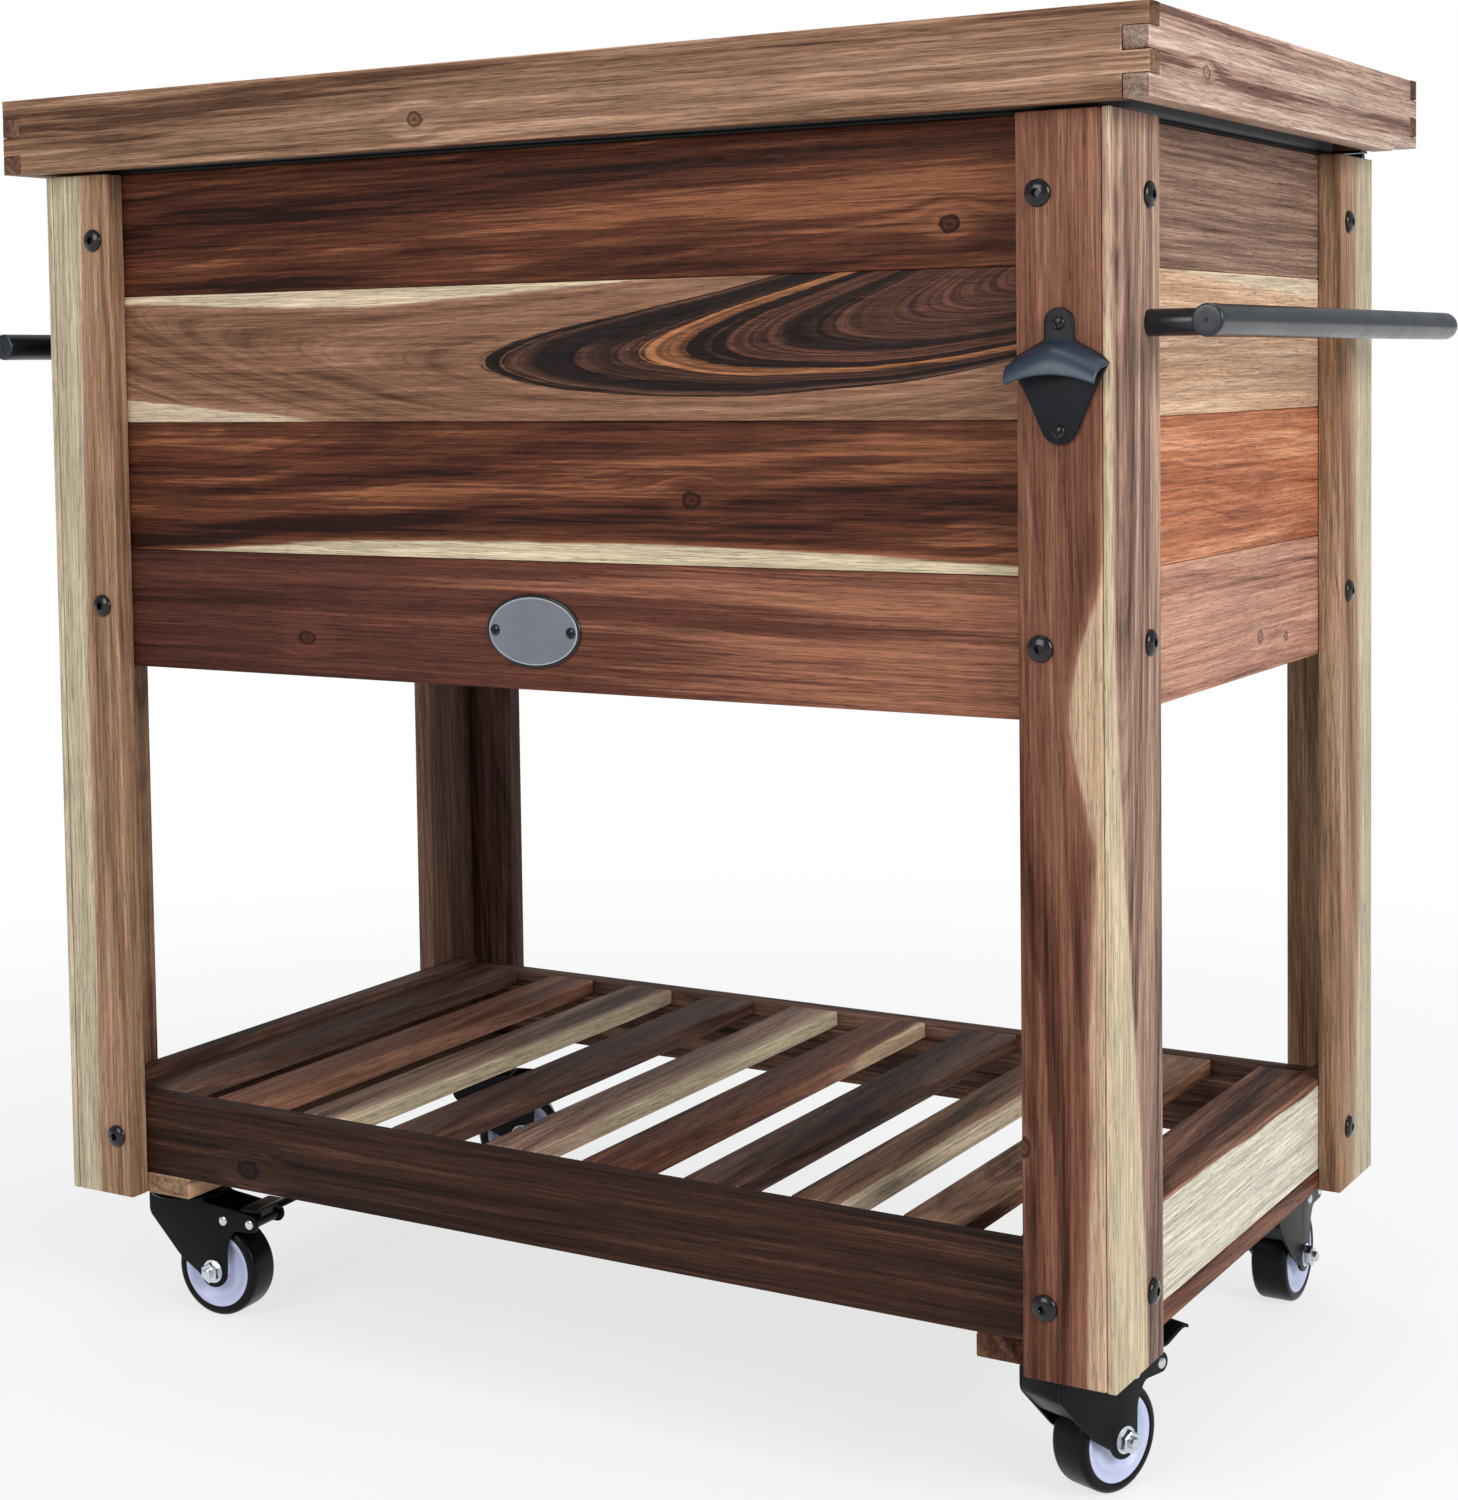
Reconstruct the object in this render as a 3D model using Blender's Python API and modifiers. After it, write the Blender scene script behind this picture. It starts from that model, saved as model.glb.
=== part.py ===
"""Patio cooler: a wooden cabinet on casters with an insulated tub, a hinged lid and a slatted shelf.

Metres, +Z up, the floor at z = 0. X runs along the front, which faces -Y. The origin is under the
middle of the whole footprint, with the back casters trailing behind the cabinet.
"""

import math

import bmesh
import bpy
from mathutils import Matrix, Vector

# Clearances and edges
GAP = 0.0003  # between pieces that touch
EDGE = 0.0012  # easing of the boards' edges
METAL_EDGE = 0.0006  # easing of metal edges
OVERRUN = 0.002  # how far a cutter passes the face it cuts
WELD = 0.00001  # points closer than this are one
ROUND = 0.5  # profile share of a bevel that is an arc

# Cabinet
CABINET_WIDTH = 0.864  # over the corner posts
CABINET_DEPTH = 0.528
POST_HEIGHT = 0.781
POST_BOARD = 0.017  # thickness of the two boards of a post
POST_FACE_WIDTH = 0.062  # front or back board of a post
POST_SIDE_WIDTH = 0.080  # post along the side, with the edge of the face board
SEAM_WIDTH = 0.0018  # V-groove between glued boards
SEAM_DEPTH = 0.0010
WALL_HEIGHT = 0.3725
WALL_THICKNESS = 0.017
plank_seam_shares = (0.240, 0.498, 0.753)  # seams, up the height of a wall

# Shelf
CASTER_BOARD_WIDTH = 0.085
CASTER_BOARD_THICKNESS = 0.0155
RAIL_THICKNESS = 0.017
FRONT_RAIL_HEIGHT = 0.0615
SIDE_RAIL_HEIGHT = 0.069
SLAT_COUNT = 10
SLAT_WIDTH = 0.044
SLAT_THICKNESS = 0.0125
CLEAT_WIDTH = 0.015
CLEAT_HEIGHT = 0.018

# Lid
LID_HEIGHT = 0.056
LID_BOARD = 0.017
LID_OVERHANG_FRONT = 0.014  # also at the back
LID_OVERHANG_SIDE = 0.030
LID_LIFT = 0.0023  # rim above the post tops
LID_TOP_THICKNESS = 0.015
LID_RELIEF_RISE = 0.0055  # the rim's lower edge steps up at the back for the hinges
LID_RELIEF_LENGTH = 0.050
LID_RELIEF_SLOPE = 0.012
FINGER_COUNT = 4
LID_PANEL_MARGIN = 0.016  # insulated lid panel inside the rim, front and back
LID_PANEL_SIDE_MARGIN = 0.032

# Hinges
HINGE_LENGTH = 0.046
HINGE_LEAF = 0.0015
HINGE_LEAF_DROP = 0.040
HINGE_KNUCKLE_RADIUS = 0.003
HINGE_PIN_RADIUS = 0.0012
HINGE_WEB = 0.0024  # thickness of the web between a knuckle and its leaf

# Tub and insulation
TUB_SHEET = 0.0015
TUB_CORNER = 0.025
TUB_FLANGE_MARGIN = 0.0015  # flange inside the post faces
INSULATION_THICKNESS = 0.028
INSULATION_FLOOR = 0.032
DRAIN_FROM_SIDE = 0.0791  # drain axis from the left side of the tub
DRAIN_FROM_BACK = 0.0811
DRAIN_BORE_RADIUS = 0.008
DRAIN_TUBE_RADIUS = 0.011
DRAIN_FLANGE_RADIUS = 0.020
DRAIN_FLANGE = 0.002
DRAIN_DROP = 0.020  # spout below the insulation
DRAIN_CAP_RADIUS = 0.0155
DRAIN_CAP_HEIGHT = 0.016
DRAIN_CAP_END = 0.003
STRAINER = 0.0012  # plate across the top of the bore
STRAINER_HOLE_RADIUS = 0.0014
STRAINER_RING = 0.0048  # circle that the outer holes stand on
STRAINER_HOLES = 6  # on that circle, with one more in the middle

# Handles
HANDLE_HEIGHT = 0.653  # above the post bottoms
HANDLE_REACH = 0.057  # bar axis from the side of the cabinet
HANDLE_RADIUS = 0.010
HANDLE_LENGTH = 0.516
STANDOFF_RADIUS = 0.0085
STANDOFF_INSET = 0.0605  # from the front or back of the cabinet
HANDLE_RIM = 0.0012

# Bottle opener
OPENER_FROM_EDGE = 0.033
OPENER_HEIGHT = 0.0826
OPENER_TOP = 0.6624  # above the post bottoms
OPENER_PLATE = 0.003
OPENER_TAB_RADIUS = 0.0097
OPENER_TOE_RADIUS = 0.0123
OPENER_HOOD_WIDTH = 0.0654
OPENER_HOOD_REACH = 0.0185
OPENER_HOOD_WALL = 0.0025
OPENER_HOOD_ROOT = 0.0012  # how deep the hood runs into the plate
OPENER_HOOD_CROWN = 0.0030  # bulge of the hood between plate and lip
hood_lip_share = 0.885  # width of the lip, of the hood's width
hood_root_share = 0.235  # how far down the plate the hood starts, and falls to its sides
hood_root_fall_share = 0.170
hood_lip_fall_share = 0.490  # how far down the lip's middle is, and its sides below that
hood_arch_share = 0.070
opener_drop_shares = (0.235, 0.290, 0.345, 0.405, 0.500, 0.620, 0.770)  # down the plate
opener_width_shares = (0.297, 0.560, 0.830, 1.000, 0.860, 0.690, 0.510)  # of its half width

# Badge
BADGE_WIDTH = 0.078
BADGE_HEIGHT = 0.0515
BADGE_THICKNESS = 0.002
BADGE_CENTRE = 0.3315  # below the top of the wall
BADGE_EDGE = 0.0007

# Casters, measured from the underside of the caster boards
CASTER_HEIGHT = 0.104
SWIVEL_FROM_END = 0.068  # from the front or back of the cabinet
CASTER_TRAIL = 0.033
WHEEL_RADIUS = 0.0365
WHEEL_WIDTH = 0.028
WHEEL_CLEAR = 0.0015  # between the wheel and each leg of its fork
TYRE_SHOULDER = 0.0045
CORE_RADIUS = 0.0293
CORE_LIP = 0.0018
CORE_RECESS = 0.0025
HUB_RADIUS = 0.0088
AXLE_RADIUS = 0.004
AXLE_REACH = 0.0262  # nut and head faces from the middle
NUT_RADIUS = 0.0072
NUT_THICKNESS = 0.0065
NUT_SIDES = 6
PLATE_LENGTH = 0.080
PLATE_WIDTH = 0.062
PLATE_THICKNESS = 0.0025
PLATE_CORNER = 0.006
PLATE_HOLE_RADIUS = 0.0032
PLATE_HOLE_INSET = 0.010
RACE_RADIUS = 0.024
RACE_HEIGHT = 0.0055
FORK_STEEL = 0.0025
FORK_CROWN_RADIUS = 0.032
FORK_CROWN = 0.0035
AXLE_BOSS_RADIUS = 0.013
PEDAL_PIVOT_X = 0.069
PEDAL_PIVOT_DROP = 0.026
PEDAL_BARREL_RADIUS = 0.0045
PEDAL_WIDTH = 0.036
PEDAL_REACH = 0.098
PEDAL_STEEL = 0.0025
PEDAL_WEB = 0.016
PEDAL_HEEL = 0.0087  # pad behind the pivot
PEDAL_BEND = 0.0064  # pad ahead of the pivot, where it turns up
PEDAL_KNEE = 0.012  # pad above the pivot there
BRAKE_ARM_RADIUS = 0.0072  # fork's arm round the pedal pivot
FORK_NOSE = 0.028  # front edge of the legs ahead of the swivel axis
FORK_NOSE_DROP = 0.018
FORK_SHIN_X = 0.002  # where the leg's front edge meets the tyre
FORK_SHIN_DROP = 0.060
FORK_NECK = 0.026  # top of the legs behind the swivel axis
FORK_WEB_END = 0.034  # lower edge of the web that joins the legs in front
ROUND_STEPS = 24
TUBE_STEPS = 28

# Direction in which each caster trails, in degrees from +X
caster_azimuths = {
    "front_left": 4.0,
    "front_right": 71.0,
    "back_left": 40.0,
    "back_right": 90.0,
}

# Colour, roughness and metallic value of each finish
finishes = {
    "dark_wood": ((0.100, 0.045, 0.032), 0.55, 0.0),
    "brown_wood": ((0.210, 0.105, 0.060), 0.55, 0.0),
    "red_wood": ((0.270, 0.100, 0.055), 0.52, 0.0),
    "light_wood": ((0.520, 0.360, 0.200), 0.55, 0.0),
    "pale_wood": ((0.600, 0.500, 0.340), 0.58, 0.0),
    "grey_wood": ((0.230, 0.180, 0.150), 0.60, 0.0),
    "black_steel": ((0.022, 0.024, 0.027), 0.45, 0.6),
    "black_iron": ((0.026, 0.036, 0.044), 0.50, 0.5),
    "bright_steel": ((0.620, 0.640, 0.660), 0.28, 1.0),
    "foam": ((0.120, 0.125, 0.130), 0.80, 0.0),
    "black_plastic": ((0.030, 0.031, 0.033), 0.50, 0.0),
    "wheel": ((0.015, 0.016, 0.020), 0.50, 0.0),
}

# Levels and half sizes that the pieces share
POST_BOTTOM = CASTER_HEIGHT
POST_TOP = POST_BOTTOM + POST_HEIGHT
HALF_WIDTH = CABINET_WIDTH / 2
HALF_DEPTH = CABINET_DEPTH / 2
POST_IN_X = HALF_WIDTH - POST_BOARD
POST_IN_Y = HALF_DEPTH - POST_BOARD
WALL_OUT_X = POST_IN_X - GAP
WALL_OUT_Y = POST_IN_Y - GAP
WALL_IN_X = WALL_OUT_X - WALL_THICKNESS
WALL_IN_Y = WALL_OUT_Y - WALL_THICKNESS
RAIL_IN_X = WALL_OUT_X - RAIL_THICKNESS
RAIL_IN_Y = WALL_OUT_Y - RAIL_THICKNESS
WALL_BOTTOM = POST_TOP - WALL_HEIGHT
RAIL_BOTTOM = POST_BOTTOM + CASTER_BOARD_THICKNESS + GAP
DECK_TOP = RAIL_BOTTOM + FRONT_RAIL_HEIGHT
LID_BOTTOM = POST_TOP + LID_LIFT
LID_TOP = LID_BOTTOM + LID_HEIGHT
LID_HALF_X = HALF_WIDTH + LID_OVERHANG_SIDE
LID_HALF_Y = HALF_DEPTH + LID_OVERHANG_FRONT
LID_IN_X = LID_HALF_X - LID_BOARD
LID_IN_Y = LID_HALF_Y - LID_BOARD
HINGE_CLEAR = HINGE_KNUCKLE_RADIUS + GAP
HINGE_Y = HALF_DEPTH + GAP + HINGE_LEAF + HINGE_CLEAR
HINGE_Z = LID_BOTTOM + LID_RELIEF_RISE - GAP - HINGE_LEAF - HINGE_CLEAR
HINGE_X = HALF_WIDTH - POST_FACE_WIDTH / 2
FLANGE_TOP = POST_TOP + GAP + TUB_SHEET
TUB_OUT_X = WALL_IN_X - GAP - INSULATION_THICKNESS - GAP
TUB_OUT_Y = WALL_IN_Y - GAP - INSULATION_THICKNESS - GAP
TUB_OUT_BOTTOM = WALL_BOTTOM + INSULATION_FLOOR + GAP
DRAIN_X = DRAIN_FROM_SIDE - TUB_OUT_X
DRAIN_Y = TUB_OUT_Y - DRAIN_FROM_BACK
SWIVEL_X = WALL_OUT_X - CASTER_BOARD_WIDTH / 2
SWIVEL_Y = HALF_DEPTH - SWIVEL_FROM_END
AXLE_Z = WHEEL_RADIUS - CASTER_HEIGHT
LEG_IN = WHEEL_WIDTH / 2 + WHEEL_CLEAR
LEG_OUT = LEG_IN + FORK_STEEL
PLATE_BOTTOM = -GAP - PLATE_THICKNESS
RACE_BOTTOM = PLATE_BOTTOM - RACE_HEIGHT
CROWN_TOP = RACE_BOTTOM - GAP

# The opener reaches ahead of the lid and a back pedal behind it, and the origin is midway
HOOD_LIP = GAP + OPENER_PLATE + OPENER_HOOD_REACH - OPENER_HOOD_ROOT
FRONT_REACH = max(LID_HALF_Y, HALF_DEPTH + HOOD_LIP)
REAR_REACH = max(LID_HALF_Y, SWIVEL_Y + PEDAL_REACH)
CABINET_Y = (FRONT_REACH - REAR_REACH) / 2


def clear_scene():
    """Removes what the scene starts with."""
    for thing in list(bpy.data.objects):
        bpy.data.objects.remove(thing, do_unlink=True)


def new_collection(name, hidden):
    """A collection in the scene, left out of renders when it holds cutters."""
    home = bpy.data.collections.new(name)
    bpy.context.scene.collection.children.link(home)
    home.hide_render = hidden
    return home


def material_of(name, finish):
    """A material of the piece's own, in one of the finishes."""
    colour, roughness, metallic = finishes[finish]
    material = bpy.data.materials.new(name)
    material.use_nodes = True
    shader = material.node_tree.nodes["Principled BSDF"]
    shader.inputs["Base Color"].default_value = (*colour, 1.0)
    shader.inputs["Roughness"].default_value = roughness
    shader.inputs["Metallic"].default_value = metallic
    material.diffuse_color = (*colour, 1.0)
    return material


def empty(name, location, parent=None, turn=0.0):
    """An empty that carries pieces, turned about Z."""
    holder = bpy.data.objects.new(name, None)
    PIECES.objects.link(holder)
    holder.parent = parent
    holder.location = location
    holder.rotation_euler = (0.0, 0.0, turn)
    return holder


def place(name, data, centre, parent, finish, turn=(0.0, 0.0, 0.0)):
    """Makes an object of a mesh or curve and puts it on its carrier."""
    thing = bpy.data.objects.new(name, data)
    PIECES.objects.link(thing)
    thing.parent = parent
    thing.location = centre
    thing.rotation_euler = turn
    if finish:
        thing.data.materials.clear()
        thing.data.materials.append(material_of(name, finish))
    return thing


def stow(thing):
    """Marks an object as a cutter or pattern, which isn't a piece."""
    PIECES.objects.unlink(thing)
    CUTTERS.objects.link(thing)
    thing.hide_render = True
    thing.display_type = "WIRE"
    return thing


def ease(thing, width, segments=1):
    """Rounds the sharp edges of a piece."""
    bevel = thing.modifiers.new("eased_edges", "BEVEL")
    bevel.width = width
    bevel.segments = segments
    bevel.limit_method = "ANGLE"
    bevel.angle_limit = math.radians(35.0)
    return thing


def combine(thing, other, operation):
    """Joins another body to a piece, or cuts it away."""
    step = thing.modifiers.new(other.name, "BOOLEAN")
    step.operation = operation
    step.object = other
    stow(other)


def box(name, low, high, parent, finish=None, edge=0.0):
    """A box between two corners, in its carrier's space, with its origin in its middle."""
    size = Vector(high) - Vector(low)
    shape = bmesh.new()
    bmesh.ops.create_cube(shape, size=1.0)
    bmesh.ops.scale(shape, vec=size, verts=shape.verts)
    mesh = bpy.data.meshes.new(name)
    shape.to_mesh(mesh)
    shape.free()
    thing = place(name, mesh, (Vector(low) + Vector(high)) / 2, parent, finish)
    if edge:
        ease(thing, edge)
    return thing


def cylinder(name, radius, length, centre, axis, parent, finish=None, steps=ROUND_STEPS):
    """A cylinder with its middle at centre, along X, Y or Z."""
    shape = bmesh.new()
    bmesh.ops.create_cone(
        shape, cap_ends=True, segments=steps, radius1=radius, radius2=radius, depth=length
    )
    turns = {
        "X": Matrix.Rotation(math.pi / 2, 3, "Y"),
        "Y": Matrix.Rotation(math.pi / 2, 3, "X"),
        "Z": Matrix.Identity(3),
    }
    bmesh.ops.transform(shape, matrix=turns[axis].to_4x4(), verts=shape.verts)
    mesh = bpy.data.meshes.new(name)
    shape.to_mesh(mesh)
    shape.free()
    mesh.shade_smooth()
    mesh.set_sharp_from_angle(angle=math.radians(40.0))
    return place(name, mesh, centre, parent, finish)


def turned(name, profile, centre, parent, finish=None, turn=(0.0, 0.0, 0.0), steps=ROUND_STEPS):
    """A closed profile of (radius, height) points turned about the local Z axis."""
    mesh = bpy.data.meshes.new(name)
    points = [(radius, 0.0, height) for radius, height in profile]
    edges = [(i, (i + 1) % len(points)) for i in range(len(points))]
    mesh.from_pydata(points, edges, [])
    thing = place(name, mesh, centre, parent, finish, turn)
    screw = thing.modifiers.new("turned", "SCREW")
    screw.axis = "Z"
    screw.angle = math.tau
    screw.steps = steps
    screw.render_steps = steps
    screw.use_merge_vertices = True
    screw.merge_threshold = WELD
    screw.use_smooth_shade = True
    return thing


def outline_mesh(name, outline, thickness):
    """A flat outline in the XY plane made solid, half its thickness on each side."""
    curve = bpy.data.curves.new(name, "CURVE")
    curve.dimensions = "2D"
    curve.fill_mode = "BOTH"
    curve.extrude = thickness / 2
    spline = curve.splines.new("POLY")
    spline.points.add(len(outline) - 1)
    for point, (x, y) in zip(spline.points, outline):
        point.co = (x, y, 0.0, 1.0)
    spline.use_cyclic_u = True
    guide = bpy.data.objects.new(name + "_outline", curve)
    PIECES.objects.link(guide)
    bpy.context.view_layer.update()
    graph = bpy.context.evaluated_depsgraph_get()
    mesh = bpy.data.meshes.new_from_object(guide.evaluated_get(graph))
    bpy.data.objects.remove(guide, do_unlink=True)
    shape = bmesh.new()
    shape.from_mesh(mesh)
    bmesh.ops.remove_doubles(shape, verts=shape.verts, dist=WELD)
    bmesh.ops.recalc_face_normals(shape, faces=shape.faces)
    shape.to_mesh(mesh)
    shape.free()
    return mesh


def shaped(thing):
    """The mesh of a pattern after its modifiers, for pieces that share it."""
    bpy.context.view_layer.update()
    graph = bpy.context.evaluated_depsgraph_get()
    return bpy.data.meshes.new_from_object(thing.evaluated_get(graph))


def arc(centre, radius, start, end, steps):
    """Points along an arc, from start to end in degrees."""
    angles = [math.radians(start + (end - start) * i / steps) for i in range(steps + 1)]
    return [(centre[0] + radius * math.cos(a), centre[1] + radius * math.sin(a)) for a in angles]


# Rotations that stand an outline up: its X and Y become these world directions
ALONG_X = (math.pi / 2, 0.0, 0.0)  # X stays, Y becomes up, thickness along -Y
ALONG_Y = (math.pi / 2, 0.0, math.pi / 2)  # X becomes +Y, Y becomes up, thickness along X


def post_outline():
    """L-shaped section of the front right post, seen from above, with its corner at the origin."""
    seam = SEAM_WIDTH / 2
    return [
        (0.0, EDGE),
        (0.0, POST_BOARD - seam),
        (-SEAM_DEPTH, POST_BOARD),
        (0.0, POST_BOARD + seam),
        (0.0, POST_SIDE_WIDTH - EDGE),
        (-EDGE, POST_SIDE_WIDTH),
        (-POST_BOARD, POST_SIDE_WIDTH),
        (-POST_BOARD, POST_BOARD),
        (-POST_FACE_WIDTH, POST_BOARD),
        (-POST_FACE_WIDTH, EDGE),
        (-POST_FACE_WIDTH + EDGE, 0.0),
        (-EDGE, 0.0),
    ]


def make_posts(cabinet):
    """The four corner posts, each of two glued boards."""
    for depth_name, back in (("front", -1), ("back", 1)):
        for side_name, side in (("left", -1), ("right", 1)):
            name = f"post_{depth_name}_{side_name}"
            outline = [(side * x, -back * y) for x, y in post_outline()]
            mesh = outline_mesh(name, outline, POST_HEIGHT)
            centre = (side * HALF_WIDTH, back * HALF_DEPTH, POST_BOTTOM + POST_HEIGHT / 2)
            finish = "red_wood" if back < 0 else "brown_wood"
            place(name, mesh, centre, cabinet, finish)


def wall_outline():
    """Section of a wall with its outer face at y = 0, grooved where its planks meet."""
    seam = SEAM_WIDTH / 2
    outline = [(0.0, 0.0)]
    for share in plank_seam_shares:
        height = share * WALL_HEIGHT
        outline += [(0.0, height - seam), (-SEAM_DEPTH, height), (0.0, height + seam)]
    outline += [(0.0, WALL_HEIGHT), (-WALL_THICKNESS, WALL_HEIGHT), (-WALL_THICKNESS, 0.0)]
    return outline


def make_walls(cabinet):
    """The four plank walls round the tub."""
    facing = {
        "front": ((0.0, -WALL_OUT_Y), -math.pi / 2, 2 * WALL_OUT_X, "dark_wood"),
        "back": ((0.0, WALL_OUT_Y), math.pi / 2, 2 * WALL_OUT_X, "brown_wood"),
        "left": ((-WALL_OUT_X, 0.0), math.pi, 2 * (WALL_IN_Y - GAP), "brown_wood"),
        "right": ((WALL_OUT_X, 0.0), 0.0, 2 * (WALL_IN_Y - GAP), "red_wood"),
    }
    for name, ((x, y), heading, length, finish) in facing.items():
        mesh = outline_mesh(f"{name}_wall", wall_outline(), length)
        turn = (math.pi / 2, 0.0, heading)
        place(f"{name}_wall", mesh, (x, y, WALL_BOTTOM), cabinet, finish, turn)


def make_shelf(cabinet):
    """Rails, cleats, slats and the boards that carry the casters."""
    top = DECK_TOP
    for name, side, finish in (("front", -1, "dark_wood"), ("back", 1, "brown_wood")):
        faces = sorted((side * WALL_OUT_Y, side * RAIL_IN_Y))
        low, high = (-WALL_OUT_X, faces[0], RAIL_BOTTOM), (WALL_OUT_X, faces[1], top)
        box(f"{name}_rail", low, high, cabinet, finish, EDGE)
        faces = sorted((side * (RAIL_IN_Y - GAP), side * (RAIL_IN_Y - GAP - CLEAT_WIDTH)))
        cleat_top = top - SLAT_THICKNESS - GAP
        end = RAIL_IN_X - GAP
        low, high = (-end, faces[0], cleat_top - CLEAT_HEIGHT), (end, faces[1], cleat_top)
        box(f"{name}_cleat", low, high, cabinet, "brown_wood", EDGE)
    for name, side in (("left", -1), ("right", 1)):
        end = RAIL_IN_Y - GAP
        faces = sorted((side * WALL_OUT_X, side * RAIL_IN_X))
        low, high = (faces[0], -end, RAIL_BOTTOM), (faces[1], end, RAIL_BOTTOM + SIDE_RAIL_HEIGHT)
        box(f"{name}_rail", low, high, cabinet, "pale_wood", EDGE)
        faces = sorted((side * WALL_OUT_X, side * (WALL_OUT_X - CASTER_BOARD_WIDTH)))
        low = (faces[0], -WALL_OUT_Y, POST_BOTTOM)
        high = (faces[1], WALL_OUT_Y, POST_BOTTOM + CASTER_BOARD_THICKNESS)
        box(f"{name}_caster_board", low, high, cabinet, "grey_wood", EDGE)
    tones = ("dark_wood", "brown_wood", "grey_wood", "dark_wood", "grey_wood")
    end = RAIL_IN_X - GAP
    pitch = (2 * end - SLAT_WIDTH) / (SLAT_COUNT - 1)
    for i in range(SLAT_COUNT):
        left = -end + i * pitch
        low = (left, -(RAIL_IN_Y - GAP), top - SLAT_THICKNESS)
        high = (left + SLAT_WIDTH, RAIL_IN_Y - GAP, top)
        box(f"slat_{i + 1:02d}", low, high, cabinet, tones[i % len(tones)], EDGE)


def finger_steps(first):
    """Heights up the rim at which a board's end turns in or out, with its reach there."""
    height = LID_HEIGHT / FINGER_COUNT
    notch = LID_BOARD + GAP
    rows = [(0.0 if first else notch, 0.0)]
    for i in range(1, FINGER_COUNT):
        below_out = (i % 2 == 1) == first
        level = i * height - (GAP / 2 if below_out else -GAP / 2)
        below, above = (0.0, notch) if below_out else (notch, 0.0)
        rows += [(below, level), (above, level)]
    return rows + [(rows[-1][0], LID_HEIGHT)]


def rim_outline(half, first, relief):
    """A lid board seen from outside: finger joints at both ends, lower edge stepped up at +X."""
    right = [(half - shrink, height) for shrink, height in finger_steps(first)]
    left = [(-half + shrink, height) for shrink, height in reversed(finger_steps(first))]
    if relief == "end":
        start = half - LID_RELIEF_LENGTH
        step = [(start - LID_RELIEF_SLOPE, 0.0), (start, LID_RELIEF_RISE)]
        right[0] = (right[0][0], LID_RELIEF_RISE)
        return left + step + right
    if relief == "all":
        left[-1] = (left[-1][0], LID_RELIEF_RISE)
        right[0] = (right[0][0], LID_RELIEF_RISE)
    return left + right


def make_lid(lid):
    """Rim boards, top panel and insulated panel of the lid, on its hinge axis."""
    origin = Vector((0.0, HINGE_Y, HINGE_Z))
    for name, side, relief, finish in (
        ("front", -1, "none", "brown_wood"),
        ("back", 1, "all", "brown_wood"),
    ):
        mesh = outline_mesh(f"lid_{name}_board", rim_outline(LID_HALF_X, False, relief), LID_BOARD)
        centre = Vector((0.0, side * (LID_HALF_Y - LID_BOARD / 2), LID_BOTTOM)) - origin
        place(f"lid_{name}_board", mesh, centre, lid, finish, ALONG_X)
    for name, side in (("left", -1), ("right", 1)):
        mesh = outline_mesh(f"lid_{name}_board", rim_outline(LID_HALF_Y, True, "end"), LID_BOARD)
        centre = Vector((side * (LID_HALF_X - LID_BOARD / 2), 0.0, LID_BOTTOM)) - origin
        place(f"lid_{name}_board", mesh, centre, lid, "light_wood", ALONG_Y)
    reach = Vector((LID_IN_X - GAP, LID_IN_Y - GAP, 0.0))
    low = Vector((-reach.x, -reach.y, LID_TOP - LID_TOP_THICKNESS)) - origin
    high = Vector((reach.x, reach.y, LID_TOP)) - origin
    box("lid_top_panel", low, high, lid, "red_wood", EDGE)
    reach = Vector((LID_IN_X - LID_PANEL_SIDE_MARGIN, LID_IN_Y - LID_PANEL_MARGIN, 0.0))
    low = Vector((-reach.x, -reach.y, FLANGE_TOP + GAP)) - origin
    high = Vector((reach.x, reach.y, LID_TOP - LID_TOP_THICKNESS - GAP)) - origin
    ease(box("lid_insulated_panel", low, high, lid, "foam"), 2 * EDGE, 2)


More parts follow.
